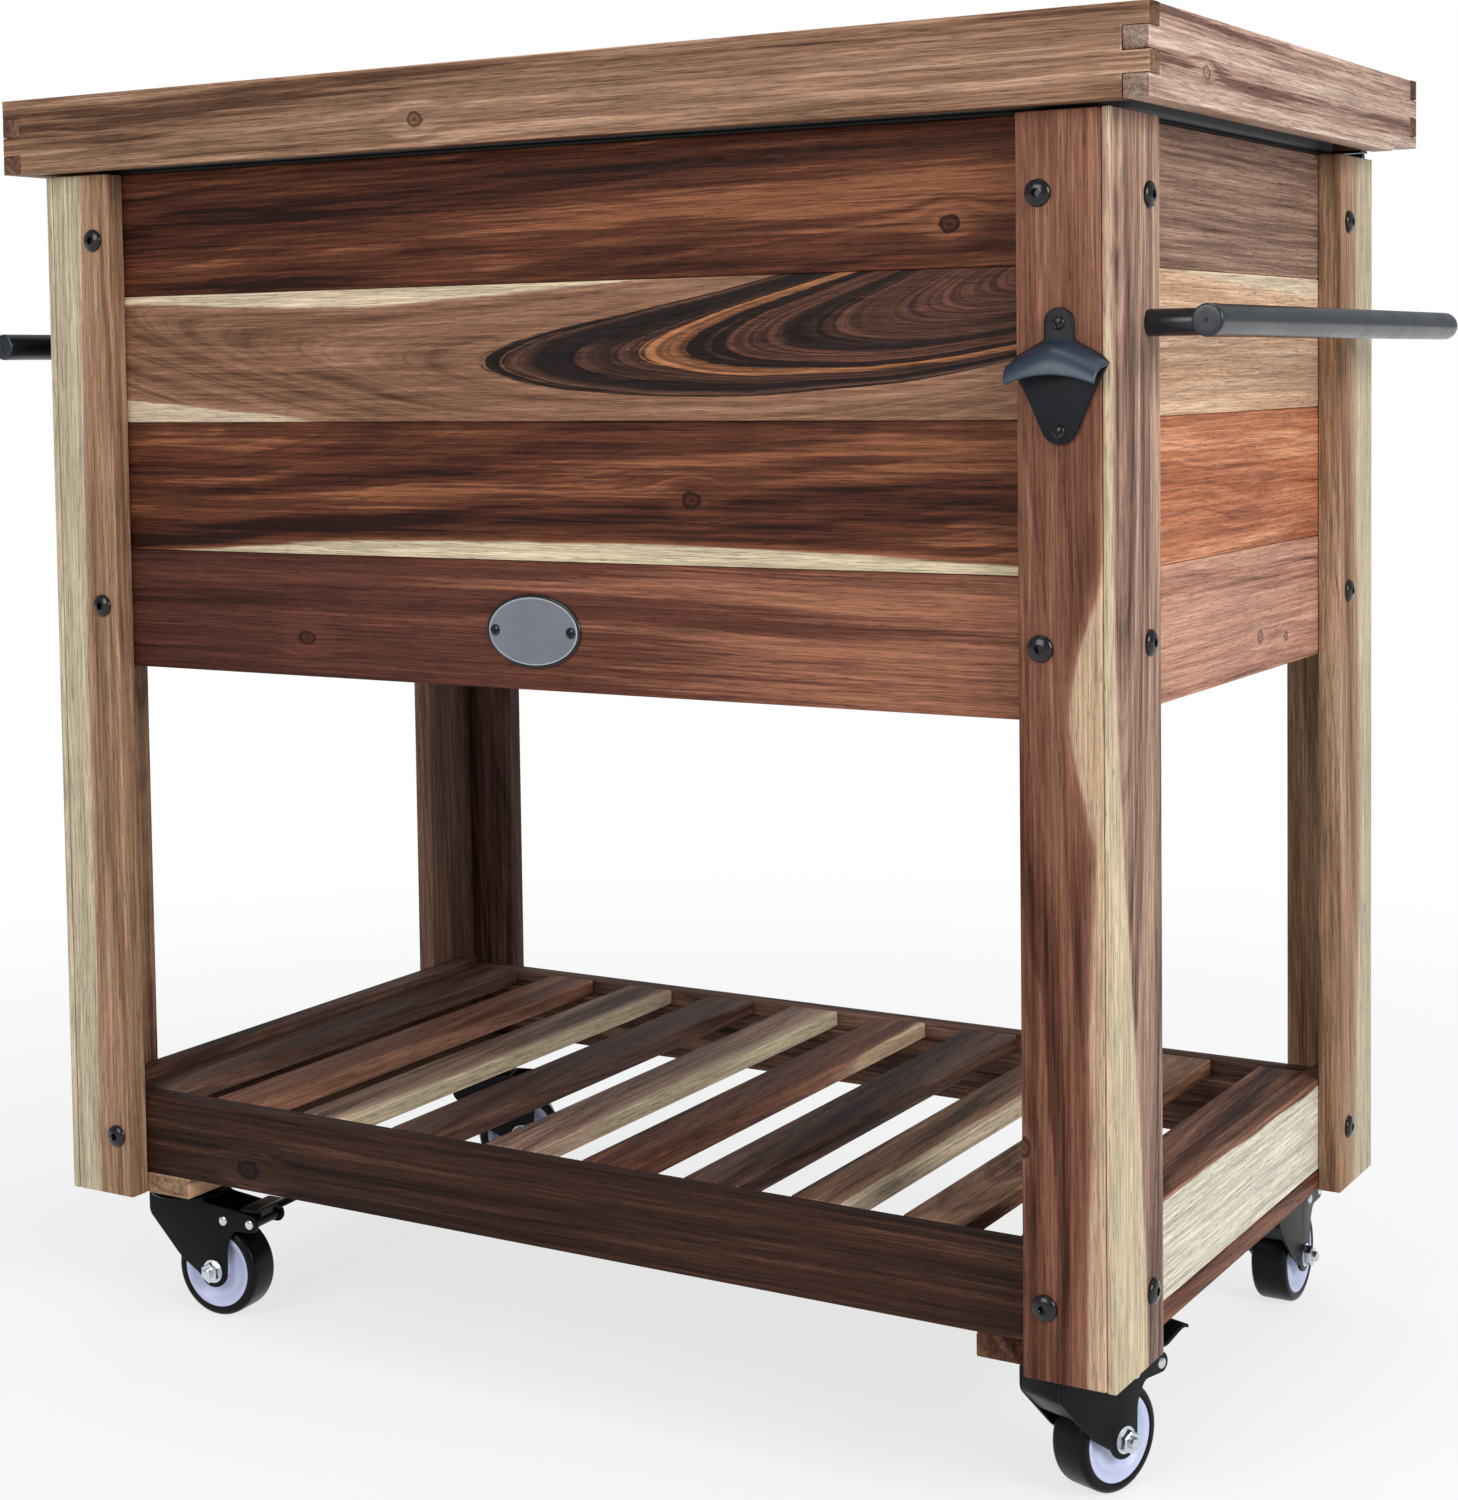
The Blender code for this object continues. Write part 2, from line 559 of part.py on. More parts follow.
def make_hinge(name, x, cabinet, lid):
    """One butt hinge: a leaf on the post's back and a leaf under the lid's back board."""
    third = HINGE_LENGTH / 3
    origin = Vector((0.0, HINGE_Y, HINGE_Z))
    wide = HINGE_LENGTH / 2
    near = -HINGE_CLEAR - HINGE_LEAF
    low = Vector((x - wide, HINGE_Y + near, POST_TOP - HINGE_LEAF_DROP))
    high = Vector((x + wide, HINGE_Y - HINGE_CLEAR, HINGE_Z))
    leaf = box(f"{name}_cabinet_leaf", low, high, cabinet, "black_steel")
    for i, side in enumerate((-1, 1)):
        centre = Vector((x + side * third, HINGE_Y, HINGE_Z))
        length = third - GAP
        label = f"{name}_knuckle_{i}"
        knuckle = cylinder(label, HINGE_KNUCKLE_RADIUS, length, centre, "X", cabinet, steps=16)
        combine(leaf, knuckle, "UNION")
        half = Vector((length / 2, 0.0, HINGE_WEB / 2))
        back = Vector((0.0, HINGE_CLEAR + HINGE_LEAF / 2, 0.0))
        web = box(f"{name}_web_{i}", centre - half - back, centre + half, cabinet)
        combine(leaf, web, "UNION")
    pin_centre = Vector((x, HINGE_Y, HINGE_Z))
    pin_length = HINGE_LENGTH - third
    pin = cylinder(f"{name}_pin", HINGE_PIN_RADIUS, pin_length, pin_centre, "X", cabinet, steps=12)
    combine(leaf, pin, "UNION")
    low = Vector((x - wide, LID_IN_Y + GAP, HINGE_Z + HINGE_CLEAR)) - origin
    high = Vector((x + wide, LID_HALF_Y - GAP, HINGE_Z + HINGE_CLEAR + HINGE_LEAF)) - origin
    leaf = box(f"{name}_lid_leaf", low, high, lid, "black_steel")
    centre = Vector((x, 0.0, 0.0))
    length = third - GAP
    label = f"{name}_middle_knuckle"
    knuckle = cylinder(label, HINGE_KNUCKLE_RADIUS, length, centre, "X", lid, steps=16)
    combine(leaf, knuckle, "UNION")
    half = Vector((length / 2, HINGE_WEB / 2, 0.0))
    up = Vector((0.0, 0.0, HINGE_CLEAR + HINGE_LEAF / 2))
    web = box(f"{name}_middle_web", centre - half, centre + half + up, lid)
    combine(leaf, web, "UNION")
    bore_radius = HINGE_PIN_RADIUS + GAP
    bore_length = length + 2 * OVERRUN
    bore = cylinder(f"{name}_bore", bore_radius, bore_length, centre, "X", lid, steps=12)
    combine(leaf, bore, "DIFFERENCE")


def rounded_box(name, low, high, radius, parent, finish=None):
    """A box whose four upright edges are rounded."""
    thing = box(name, low, high, parent, finish)
    shape = bmesh.new()
    shape.from_mesh(thing.data)
    upright = [e for e in shape.edges if abs(e.verts[0].co.z - e.verts[1].co.z) > radius]
    bmesh.ops.bevel(shape, geom=upright, offset=radius, segments=4, affect="EDGES", profile=ROUND)
    shape.to_mesh(thing.data)
    shape.free()
    return thing


def make_tub(cabinet):
    """Sheet-metal tub hung by its flange, the insulation round it, and the drain."""
    x, y = POST_IN_X - TUB_FLANGE_MARGIN, POST_IN_Y - TUB_FLANGE_MARGIN
    tub = box("tub", (-x, -y, POST_TOP + GAP), (x, y, FLANGE_TOP), cabinet, "bright_steel")
    low = (-TUB_OUT_X, -TUB_OUT_Y, TUB_OUT_BOTTOM)
    high = (TUB_OUT_X, TUB_OUT_Y, POST_TOP + GAP + TUB_SHEET / 2)
    combine(tub, rounded_box("tub_body", low, high, TUB_CORNER, cabinet), "UNION")
    x, y = TUB_OUT_X - TUB_SHEET, TUB_OUT_Y - TUB_SHEET
    low = (-x, -y, TUB_OUT_BOTTOM + TUB_SHEET)
    high = (x, y, FLANGE_TOP + OVERRUN)
    inside = rounded_box("tub_inside", low, high, TUB_CORNER - TUB_SHEET, cabinet)
    combine(tub, inside, "DIFFERENCE")
    x, y = WALL_IN_X - GAP, WALL_IN_Y - GAP
    low, high = (-x, -y, WALL_BOTTOM), (x, y, POST_TOP)
    shell = box("insulation_shell", low, high, cabinet, "foam")
    low = (-TUB_OUT_X - GAP, -TUB_OUT_Y - GAP, TUB_OUT_BOTTOM - GAP)
    high = (TUB_OUT_X + GAP, TUB_OUT_Y + GAP, POST_TOP + OVERRUN)
    room = rounded_box("tub_room", low, high, TUB_CORNER + GAP, cabinet)
    combine(shell, room, "DIFFERENCE")
    depth = INSULATION_FLOOR + 2 * OVERRUN + 2 * TUB_SHEET
    middle = (DRAIN_X, DRAIN_Y, WALL_BOTTOM + INSULATION_FLOOR / 2)
    hole_radius = DRAIN_TUBE_RADIUS + GAP
    hole = cylinder("drain_hole", hole_radius, depth, middle, "Z", cabinet)
    combine(tub, hole, "DIFFERENCE")
    step = shell.modifiers.new("drain_hole", "BOOLEAN")
    step.operation = "DIFFERENCE"
    step.object = hole
    make_drain(cabinet)


def make_drain(cabinet):
    """Drain spout through the tub's floor, its strainer, and the cap screwed on its end."""
    seat = TUB_OUT_BOTTOM + TUB_SHEET + GAP
    end = WALL_BOTTOM - DRAIN_DROP
    profile = [
        (DRAIN_BORE_RADIUS, seat + DRAIN_FLANGE),
        (DRAIN_FLANGE_RADIUS, seat + DRAIN_FLANGE),
        (DRAIN_FLANGE_RADIUS, seat),
        (DRAIN_TUBE_RADIUS, seat),
        (DRAIN_TUBE_RADIUS, end),
        (DRAIN_BORE_RADIUS, end),
    ]
    spout = turned("drain_spout", profile, (DRAIN_X, DRAIN_Y, 0.0), cabinet, "black_plastic", steps=20)
    radius = (DRAIN_BORE_RADIUS + DRAIN_TUBE_RADIUS) / 2
    level = seat + DRAIN_FLANGE / 2
    plate = cylinder("strainer", radius, STRAINER, (DRAIN_X, DRAIN_Y, level), "Z", cabinet, steps=20)
    combine(spout, plate, "UNION")
    angles = [math.tau * i / STRAINER_HOLES for i in range(STRAINER_HOLES)]
    ring = [(STRAINER_RING * math.cos(a), STRAINER_RING * math.sin(a)) for a in angles]
    for i, (x, y) in enumerate([(0.0, 0.0), *ring]):
        centre = (DRAIN_X + x, DRAIN_Y + y, level)
        label = f"strainer_hole_{i}"
        hole = cylinder(label, STRAINER_HOLE_RADIUS, DRAIN_FLANGE, centre, "Z", cabinet, steps=8)
        combine(spout, hole, "DIFFERENCE")
    bottom = end - GAP - DRAIN_CAP_END
    inner = DRAIN_TUBE_RADIUS + GAP
    profile = [
        (inner, DRAIN_CAP_HEIGHT),
        (DRAIN_CAP_RADIUS, DRAIN_CAP_HEIGHT),
        (DRAIN_CAP_RADIUS, 0.0),
        (inner, 0.0),
    ]
    middle = (DRAIN_X, DRAIN_Y, bottom)
    cap = turned("drain_cap", profile, middle, cabinet, "black_plastic", steps=20)
    disc_radius = (inner + DRAIN_CAP_RADIUS) / 2
    middle = (DRAIN_X, DRAIN_Y, bottom + DRAIN_CAP_END / 2)
    disc = cylinder("cap_end", disc_radius, DRAIN_CAP_END, middle, "Z", cabinet, steps=20)
    combine(cap, disc, "UNION")


def make_handles(cabinet):
    """A round bar on two standoffs at each side."""
    height = POST_BOTTOM + HANDLE_HEIGHT
    for name, side in (("left", -1), ("right", 1)):
        centre = (side * (HALF_WIDTH + HANDLE_REACH), 0.0, height)
        label = f"{name}_handle"
        bar = cylinder(
            label, HANDLE_RADIUS, HANDLE_LENGTH, centre, "Y", cabinet, "black_steel", TUBE_STEPS
        )
        ease(bar, HANDLE_RIM, 2)
        for i, end in enumerate((-1, 1)):
            length = HANDLE_REACH - GAP
            x = side * (HALF_WIDTH + GAP + length / 2)
            centre = (x, end * (HALF_DEPTH - STANDOFF_INSET), height)
            post = cylinder(f"{label}_standoff_{i}", STANDOFF_RADIUS, length, centre, "X", cabinet)
            combine(bar, post, "UNION")


def opener_outline():
    """Front of the opener's plate, from its top: a round tab, wide shoulders and a tapering toe."""
    half = OPENER_HOOD_WIDTH / 2
    tab = OPENER_TAB_RADIUS
    toe = OPENER_TOE_RADIUS
    steps = zip(opener_width_shares, opener_drop_shares)
    outer = [(width * half, -drop * OPENER_HEIGHT) for width, drop in steps]
    top = arc((0.0, -tab), tab, 90.0, 0.0, 6)
    bottom = arc((0.0, toe - OPENER_HEIGHT), toe, -20.0, -90.0, 5)
    right = top + outer + bottom
    return right + [(-x, y) for x, y in reversed(right[1:-1])]


def hood_mesh(name):
    """Hood of the opener: a sheet from the plate out to an arched lip."""
    across, out = 12, 5
    half = OPENER_HOOD_WIDTH / 2
    shape = bmesh.new()
    rows = []
    for j in range(out + 1):
        v = j / out
        row = []
        for i in range(across + 1):
            u = 2 * i / across - 1
            fall = hood_root_share + hood_root_fall_share * abs(u) ** 1.4
            root = Vector((u * half, 0.0, -fall * OPENER_HEIGHT))
            drop = (hood_lip_fall_share + hood_arch_share * u * u) * OPENER_HEIGHT
            lip = Vector((hood_lip_share * u * half, -OPENER_HOOD_REACH, -drop))
            bulge = OPENER_HOOD_CROWN * math.sin(math.pi * v)
            point = root.lerp(lip, v) + Vector((0.0, -bulge, bulge))
            row.append(shape.verts.new(point + Vector((0.0, OPENER_HOOD_ROOT, 0.0))))
        rows.append(row)
    for low, high in zip(rows, rows[1:]):
        for i in range(across):
            shape.faces.new((low[i], high[i], high[i + 1], low[i + 1]))
    mesh = bpy.data.meshes.new(name)
    shape.to_mesh(mesh)
    shape.free()
    return mesh


def make_opener(cabinet):
    """Bottle opener on the front right post."""
    x = HALF_WIDTH - OPENER_FROM_EDGE
    y = -HALF_DEPTH - GAP - OPENER_PLATE / 2
    z = POST_BOTTOM + OPENER_TOP
    mesh = outline_mesh("bottle_opener", opener_outline(), OPENER_PLATE)
    plate = place("bottle_opener", mesh, (x, y, z), cabinet, "black_iron", ALONG_X)
    face = (x, y - OPENER_PLATE / 2, z)
    hood = place("opener_hood", hood_mesh("opener_hood"), face, cabinet, None)
    wall = hood.modifiers.new("hood_wall", "SOLIDIFY")
    wall.thickness = OPENER_HOOD_WALL
    wall.offset = -1.0
    combine(plate, hood, "UNION")


def make_badge(cabinet):
    """Plain oval badge on the front wall."""
    centre = (0.0, -WALL_OUT_Y - GAP - BADGE_THICKNESS / 2, POST_TOP - BADGE_CENTRE)
    badge = cylinder("badge", 0.5, 1.0, centre, "Y", cabinet, "black_steel", 40)
    size = (BADGE_WIDTH, BADGE_THICKNESS, BADGE_HEIGHT)
    badge.data.transform(Matrix.Diagonal((*size, 1.0)))
    ease(badge, BADGE_EDGE)


def plate_pattern(carrier):
    """Top plate of a caster with its bearing race, hanging under the board."""
    x, y = PLATE_WIDTH / 2, PLATE_LENGTH / 2
    low, high = (-x, -y, PLATE_BOTTOM), (x, y, -GAP)
    plate = rounded_box("plate_pattern", low, high, PLATE_CORNER, carrier)
    plate.data.transform(Matrix.Translation(plate.location))
    plate.location = (0.0, 0.0, 0.0)
    height = RACE_HEIGHT + PLATE_THICKNESS / 2
    centre = (0.0, 0.0, RACE_BOTTOM + height / 2)
    combine(plate, cylinder("plate_race", RACE_RADIUS, height, centre, "Z", carrier), "UNION")
    for i, (side, end) in enumerate(((-1, -1), (1, -1), (-1, 1), (1, 1))):
        hole_x, hole_y = x - PLATE_HOLE_INSET, y - PLATE_HOLE_INSET
        centre = (side * hole_x, end * hole_y, PLATE_BOTTOM / 2)
        depth = PLATE_THICKNESS + 2 * OVERRUN
        hole = cylinder(f"plate_hole_{i}", PLATE_HOLE_RADIUS, depth, centre, "Z", carrier, steps=12)
        combine(plate, hole, "DIFFERENCE")
    return stow(plate)


def leg_outline():
    """Side of the fork, X along the trail and Y up, from the crown to the axle and the brake arm."""
    axle = (CASTER_TRAIL, AXLE_Z)
    pivot = (PEDAL_PIVOT_X, -PEDAL_PIVOT_DROP)
    arm = BRAKE_ARM_RADIUS
    top = CROWN_TOP - FORK_CROWN / 2
    front = [(-FORK_NOSE, top), (-FORK_NOSE, top - FORK_NOSE_DROP), (FORK_SHIN_X, -FORK_SHIN_DROP)]
    boss = arc(axle, AXLE_BOSS_RADIUS, 200.0, 345.0, 8)
    bend = (axle[0] + AXLE_BOSS_RADIUS, pivot[1] - arm - AXLE_BOSS_RADIUS)
    back = [bend, (bend[0] + arm, pivot[1] - arm)]
    tip = arc(pivot, arm, -70.0, 70.0, 6)
    neck = [(FORK_NECK, top - FORK_CROWN), (FORK_NECK - FORK_STEEL, top)]
    return front + boss + back + tip + neck


def fork_pattern(carrier):
    """Fork of a caster: crown, two legs, front web, and the axle bolt with its head and nut."""
    centre = (0.0, 0.0, CROWN_TOP - FORK_CROWN / 2)
    fork = cylinder("fork_pattern", FORK_CROWN_RADIUS, FORK_CROWN, centre, "Z", carrier)
    fork.data.transform(Matrix.Translation(fork.location))
    fork.location = (0.0, 0.0, 0.0)
    for i, side in enumerate((-1, 1)):
        mesh = outline_mesh(f"fork_leg_{i}", leg_outline(), FORK_STEEL)
        y = side * (LEG_IN + FORK_STEEL / 2)
        combine(fork, place(f"fork_leg_{i}", mesh, (0.0, y, 0.0), carrier, None, ALONG_X), "UNION")
    front = METAL_EDGE - FORK_NOSE
    top = CROWN_TOP - FORK_CROWN / 2
    fall = FORK_WEB_END - FORK_NOSE_DROP
    slope = [
        (front, top),
        (front, top - FORK_NOSE_DROP),
        (front + fall, top - FORK_WEB_END),
        (front + fall + FORK_STEEL, top - FORK_WEB_END),
        (front + FORK_STEEL, top - FORK_NOSE_DROP),
        (front + FORK_STEEL, top),
    ]
    width = 2 * LEG_IN + FORK_STEEL
    mesh = outline_mesh("fork_web", slope, width)
    combine(fork, place("fork_web", mesh, (0.0, 0.0, 0.0), carrier, None, ALONG_X), "UNION")
    axle = Vector((CASTER_TRAIL, 0.0, AXLE_Z))
    length = 2 * LEG_OUT + NUT_THICKNESS
    bolt = cylinder("axle_bolt", AXLE_RADIUS, length, axle, "Y", carrier, steps=16)
    combine(fork, bolt, "UNION")
    for i, side in enumerate((-1, 1)):
        length = AXLE_REACH - LEG_OUT + FORK_STEEL / 2
        middle = axle + Vector((0.0, side * (AXLE_REACH - length / 2), 0.0))
        nut = cylinder(f"axle_nut_{i}", NUT_RADIUS, length, middle, "Y", carrier, steps=NUT_SIDES)
        combine(fork, nut, "UNION")
    return stow(fork)


def wheel_pattern(carrier):
    """Tyre, core and hub of a caster wheel, turned about its axle."""
    half = WHEEL_WIDTH / 2
    hub = LEG_IN - GAP
    bore = AXLE_RADIUS + GAP
    shoulder = TYRE_SHOULDER
    right = [
        (WHEEL_RADIUS, half - shoulder),
        (WHEEL_RADIUS - shoulder / 3, half - shoulder / 3),
        (WHEEL_RADIUS - shoulder, half),
        (CORE_RADIUS, half),
        (CORE_RADIUS - CORE_LIP, half - CORE_RECESS),
        (HUB_RADIUS, half - CORE_RECESS),
        (HUB_RADIUS, hub),
        (bore, hub),
    ]
    profile = list(reversed(right)) + [(radius, -across) for radius, across in right]
    return stow(turned("wheel_pattern", profile, (0.0, 0.0, 0.0), carrier, steps=ROUND_STEPS))


def pedal_pattern(carrier):
    """Brake pedal: a barrel between the fork's arms, a raised pad and a shoe over the tyre."""
    width = 2 * (LEG_IN - GAP)
    middle = (0.0, 0.0, 0.0)
    pedal = cylinder("pedal_pattern", PEDAL_BARREL_RADIUS, width, middle, "Y", carrier, steps=16)
    end = PEDAL_REACH - PEDAL_PIVOT_X
    rise = PEDAL_PIVOT_DROP + PLATE_BOTTOM - PEDAL_STEEL
    knee = PEDAL_KNEE
    pad = [
        (-PEDAL_HEEL, knee),
        (PEDAL_BEND, knee),
        (end, rise),
        (end, rise - PEDAL_STEEL),
        (PEDAL_BEND, knee - PEDAL_STEEL),
        (-PEDAL_HEEL, knee - PEDAL_STEEL),
    ]
    mesh = outline_mesh("pedal_pad", pad, PEDAL_WIDTH)
    combine(pedal, place("pedal_pad", mesh, (0.0, 0.0, 0.0), carrier, None, ALONG_X), "UNION")
    web = [
        (-PEDAL_STEEL, 0.0),
        (PEDAL_STEEL, 0.0),
        (PEDAL_BARREL_RADIUS, knee - PEDAL_STEEL / 2),
        (-PEDAL_BARREL_RADIUS, knee - PEDAL_STEEL / 2),
    ]
    mesh = outline_mesh("pedal_web", web, PEDAL_WEB)
    combine(pedal, place("pedal_web", mesh, (0.0, 0.0, 0.0), carrier, None, ALONG_X), "UNION")
    return stow(pedal)


def make_casters(cabinet):
    """Four swivel casters with brakes. Each fork turns on its plate and carries a wheel and a pedal."""
    carrier = empty("caster_patterns", (0.0, 0.0, 0.0))
    plate = shaped(plate_pattern(carrier))
    fork = shaped(fork_pattern(carrier))
    wheel = shaped(wheel_pattern(carrier))
    pedal = shaped(pedal_pattern(carrier))
    wheel.transform(Matrix.Rotation(math.pi / 2, 4, "X"))
    for name, azimuth in caster_azimuths.items():
        back = 1 if name.startswith("back") else -1
        side = 1 if name.endswith("right") else -1
        swivel = (side * SWIVEL_X, back * SWIVEL_Y, POST_BOTTOM)
        place(f"caster_plate_{name}", plate.copy(), swivel, cabinet, "black_steel")
        turn = empty(f"swivel_{name}", swivel, cabinet, math.radians(azimuth))
        place(f"caster_fork_{name}", fork.copy(), (0.0, 0.0, 0.0), turn, "black_steel")
        axle = (CASTER_TRAIL, 0.0, AXLE_Z)
        place(f"caster_wheel_{name}", wheel.copy(), axle, turn, "wheel")
        pivot = (PEDAL_PIVOT_X, 0.0, -PEDAL_PIVOT_DROP)
        place(f"caster_pedal_{name}", pedal.copy(), pivot, turn, "black_steel")


clear_scene()
PIECES = new_collection("patio_cooler", False)
CUTTERS = new_collection("patio_cooler_cutters", True)


def main():
    """Builds the whole cooler."""
    cabinet = empty("cabinet", (0.0, CABINET_Y, 0.0))
    lid = empty("lid_pivot", (0.0, HINGE_Y, HINGE_Z), cabinet)
    make_posts(cabinet)
    make_walls(cabinet)
    make_shelf(cabinet)
    make_tub(cabinet)
    make_lid(lid)
    make_hinge("left_hinge", -HINGE_X, cabinet, lid)
    make_hinge("right_hinge", HINGE_X, cabinet, lid)
    make_handles(cabinet)
    make_opener(cabinet)
    make_badge(cabinet)
    make_casters(cabinet)


main()
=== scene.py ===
"""Looks of a wooden patio cooler on casters: its boards, fittings, casters, studio and camera."""

import logging
import math
from collections.abc import Sequence
from dataclasses import dataclass, field, fields
from enum import Enum
from functools import reduce

import bpy
import numpy as np
from mathutils import Matrix, Vector


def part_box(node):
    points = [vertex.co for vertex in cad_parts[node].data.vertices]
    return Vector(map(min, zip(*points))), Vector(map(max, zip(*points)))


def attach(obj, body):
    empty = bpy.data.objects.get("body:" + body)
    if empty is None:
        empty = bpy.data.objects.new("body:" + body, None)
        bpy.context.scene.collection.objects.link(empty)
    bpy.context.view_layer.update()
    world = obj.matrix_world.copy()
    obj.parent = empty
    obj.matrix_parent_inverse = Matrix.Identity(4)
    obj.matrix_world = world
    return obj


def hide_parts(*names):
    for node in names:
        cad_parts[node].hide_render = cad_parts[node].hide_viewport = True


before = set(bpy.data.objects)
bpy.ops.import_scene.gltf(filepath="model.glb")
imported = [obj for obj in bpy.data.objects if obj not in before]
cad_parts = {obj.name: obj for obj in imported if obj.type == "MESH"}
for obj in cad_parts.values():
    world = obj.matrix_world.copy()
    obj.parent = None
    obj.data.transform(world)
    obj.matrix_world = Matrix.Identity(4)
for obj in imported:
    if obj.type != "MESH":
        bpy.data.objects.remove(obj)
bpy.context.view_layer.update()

LOG = logging.getLogger("patio_cooler")

Point = tuple[float, float, float]
Colour = tuple[float, float, float]
Socket = bpy.types.NodeSocket

FLOOR_Z = 0.0
CABINET_Y = -0.0047  # how far the cabinet's middle stands ahead of the origin
USUAL_NOISE = (0.33, 0.67)  # the range in which most of a noise lies


class Axis(Enum):
    """The three directions of the world, by their place in a point."""

    X = 0
    Y = 1
    Z = 2

    def vector(self) -> np.ndarray:
        """The unit vector along this axis."""
        return np.eye(3)[self.value]


X, Y, Z = (axis.vector() for axis in Axis)


# Meshes


@dataclass
class Shape:
    """Points, faces and edge wear of a surface that is still being put together; the edge wear also carries a
    painted highlight.

    Attributes:
        points: One row of x, y, z for each point, in metres.
        faces: The points of each face, by number.
        wear: How far each point lies on a rounded edge, 0 to 1, where the finishes lighten it as real wear
            and as a painted highlight. Nowhere, when it isn't given.
    """

    points: np.ndarray
    faces: list[Sequence[int]]
    wear: np.ndarray | None = None

    def __post_init__(self) -> None:
        """Sets the wear to nothing where none is given."""
        self.wear = np.zeros(len(self.points)) if self.wear is None else self.wear

    def placed(self, origin: Sequence[float], across: np.ndarray, up: np.ndarray) -> "Shape":
        """Carries the shape's own X, Y and Z to three directions of the world.

        Args:
            origin: Where the shape's own origin goes.
            across: Direction of the shape's X.
            up: Direction of the shape's Y. Its Z follows by the right-hand rule.

        Returns:
            The shape in its new place.
        """
        axes = np.stack([across, up, np.cross(across, up)])
        return Shape(self.points @ axes + np.asarray(origin, float), self.faces, self.wear)


def joined(shapes: Sequence[Shape]) -> Shape:
    """Puts several shapes in one, which then holds all their points and faces.

    Args:
        shapes: The shapes, which may touch or run through each other.

    Returns:
        One shape.
    """
    starts = np.cumsum([0] + [len(shape.points) for shape in shapes])
    faces = []
    for shape, start in zip(shapes, starts):
        faces += [tuple(int(i + start) for i in face) for face in shape.faces]
    points = np.concatenate([shape.points for shape in shapes])
    return Shape(points, faces, np.concatenate([shape.wear for shape in shapes]))


def ring_faces(rings: int, size: int, loop: bool = False) -> list[Sequence[int]]:
    """Four-sided faces between neighbouring rings of a grid.

    Point number is ring times size plus place in the ring, and places wrap round.

    Args:
        rings: Number of rings.
        size: Points in each ring.
        loop: Whether the last ring joins the first.

    Returns:
        The faces, facing out of a surface whose rings turn left as it climbs.
    """
    ring = np.arange(rings if loop else rings - 1)[:, None]
    spot = np.arange(size)[None, :]
    beside = (spot + 1) % size
    above = (ring + 1) % rings
    corners = [ring * size + spot, ring * size + beside, above * size + beside, above * size + spot]
    return np.stack(np.broadcast_arrays(*corners), axis=-1).reshape(-1, 4).tolist()


def inset(outline: np.ndarray, amount: float) -> np.ndarray:
    """Moves the corners of a closed outline inwards along their mitres.

    A corner moves along the sum of its two edges' inward normals, divided by one plus their
    dot product, so that both edges move in by the same amount.

    Args:
        outline: Corners in order, turning left.
        amount: How far each edge moves in.

    Returns:
        The moved corners.
    """
    before = outline - np.roll(outline, 1, axis=0)
    after = np.roll(outline, -1, axis=0) - outline
    normals = []
    for edge in (before, after):
        length = np.linalg.norm(edge, axis=1, keepdims=True)
        normals.append(np.stack([-edge[:, 1], edge[:, 0]], axis=1) / length)
    lean = 1.0 + (normals[0] * normals[1]).sum(axis=1, keepdims=True)
    return outline + amount * (normals[0] + normals[1]) / lean


def slab(outline: np.ndarray, thickness: float, rounding: float, steps: int = 3) -> Shape:
    """A flat outline with thickness, whose edges on both faces are rounded.

    At angle t on the rounding, the ring lies rounding times one minus sin t in from the outline,
    and rounding times one minus cos t in from the face.

    Args:
        outline: Corners of the outline in order, turning left.
        thickness: Full thickness, half to each side of the outline's plane.
        rounding: Radius of the rounded edges.
        steps: Faces round each rounded edge.

    Returns:
        A closed shape.
    """
    angles = np.linspace(0.0, math.pi / 2, steps + 1)
    bends = list(zip(rounding * (1 - np.sin(angles)), rounding * (1 - np.cos(angles))))
    levels = [(i, d - thickness / 2) for i, d in bends]
    levels += [(i, thickness / 2 - d) for i, d in reversed(bends)]
    rings = [np.column_stack([inset(outline, i), np.full(len(outline), z)]) for i, z in levels]
    size = len(outline)
    faces = ring_faces(len(rings), size)
    faces.append(list(range(size))[::-1])
    faces.append(list(range((len(rings) - 1) * size, len(rings) * size)))
    # Lightening of the rounded edges, as real wear and as a painted highlight, greatest halfway round
    worn_and_lit_edge = [math.sin(2 * a) for a in angles]
    wear = np.repeat(worn_and_lit_edge + worn_and_lit_edge[::-1], size)
    return Shape(np.concatenate(rings), faces, wear)


def turned(
    profile: Sequence[tuple[float, float]], steps: int = 48, factors: np.ndarray | None = None
) -> Shape:
    """A profile of radius and height turned about the shape's Z.

    Point (i, j) is (radius i cos t, radius i sin t, height i), at angle t of step j. A point of the
    profile on the axis is one pole. A profile that has no pole is a closed loop.

    Args:
        profile: Radius and height of each point, going up the outside, or round a loop to the left.
        steps: Points round the axis.
        factors: For each point of the profile and each step, what its radius is multiplied by.

    Returns:
        A closed shape.
    """
    radii, heights = np.array(profile, float).T
    angle = np.arange(steps) * math.tau / steps
    reach = radii[:, None] * (np.ones((len(radii), steps)) if factors is None else factors)
    grid = np.stack([reach * np.cos(angle), reach * np.sin(angle), np.repeat(heights[:, None], steps, 1)], -1)
    if radii[0] or radii[-1]:
        return Shape(grid.reshape(-1, 3), ring_faces(len(radii), steps, loop=True))
    rings = grid[1:-1].reshape(-1, 3)
    low, high = len(rings), len(rings) + 1
    faces = ring_faces(len(radii) - 2, steps)
    last = (len(radii) - 3) * steps
    for j in range(steps):
        faces.append((low, (j + 1) % steps, j))
        faces.append((high, last + j, last + (j + 1) % steps))
    return Shape(np.concatenate([rings, [[0, 0, heights[0]], [0, 0, heights[-1]]]]), faces)


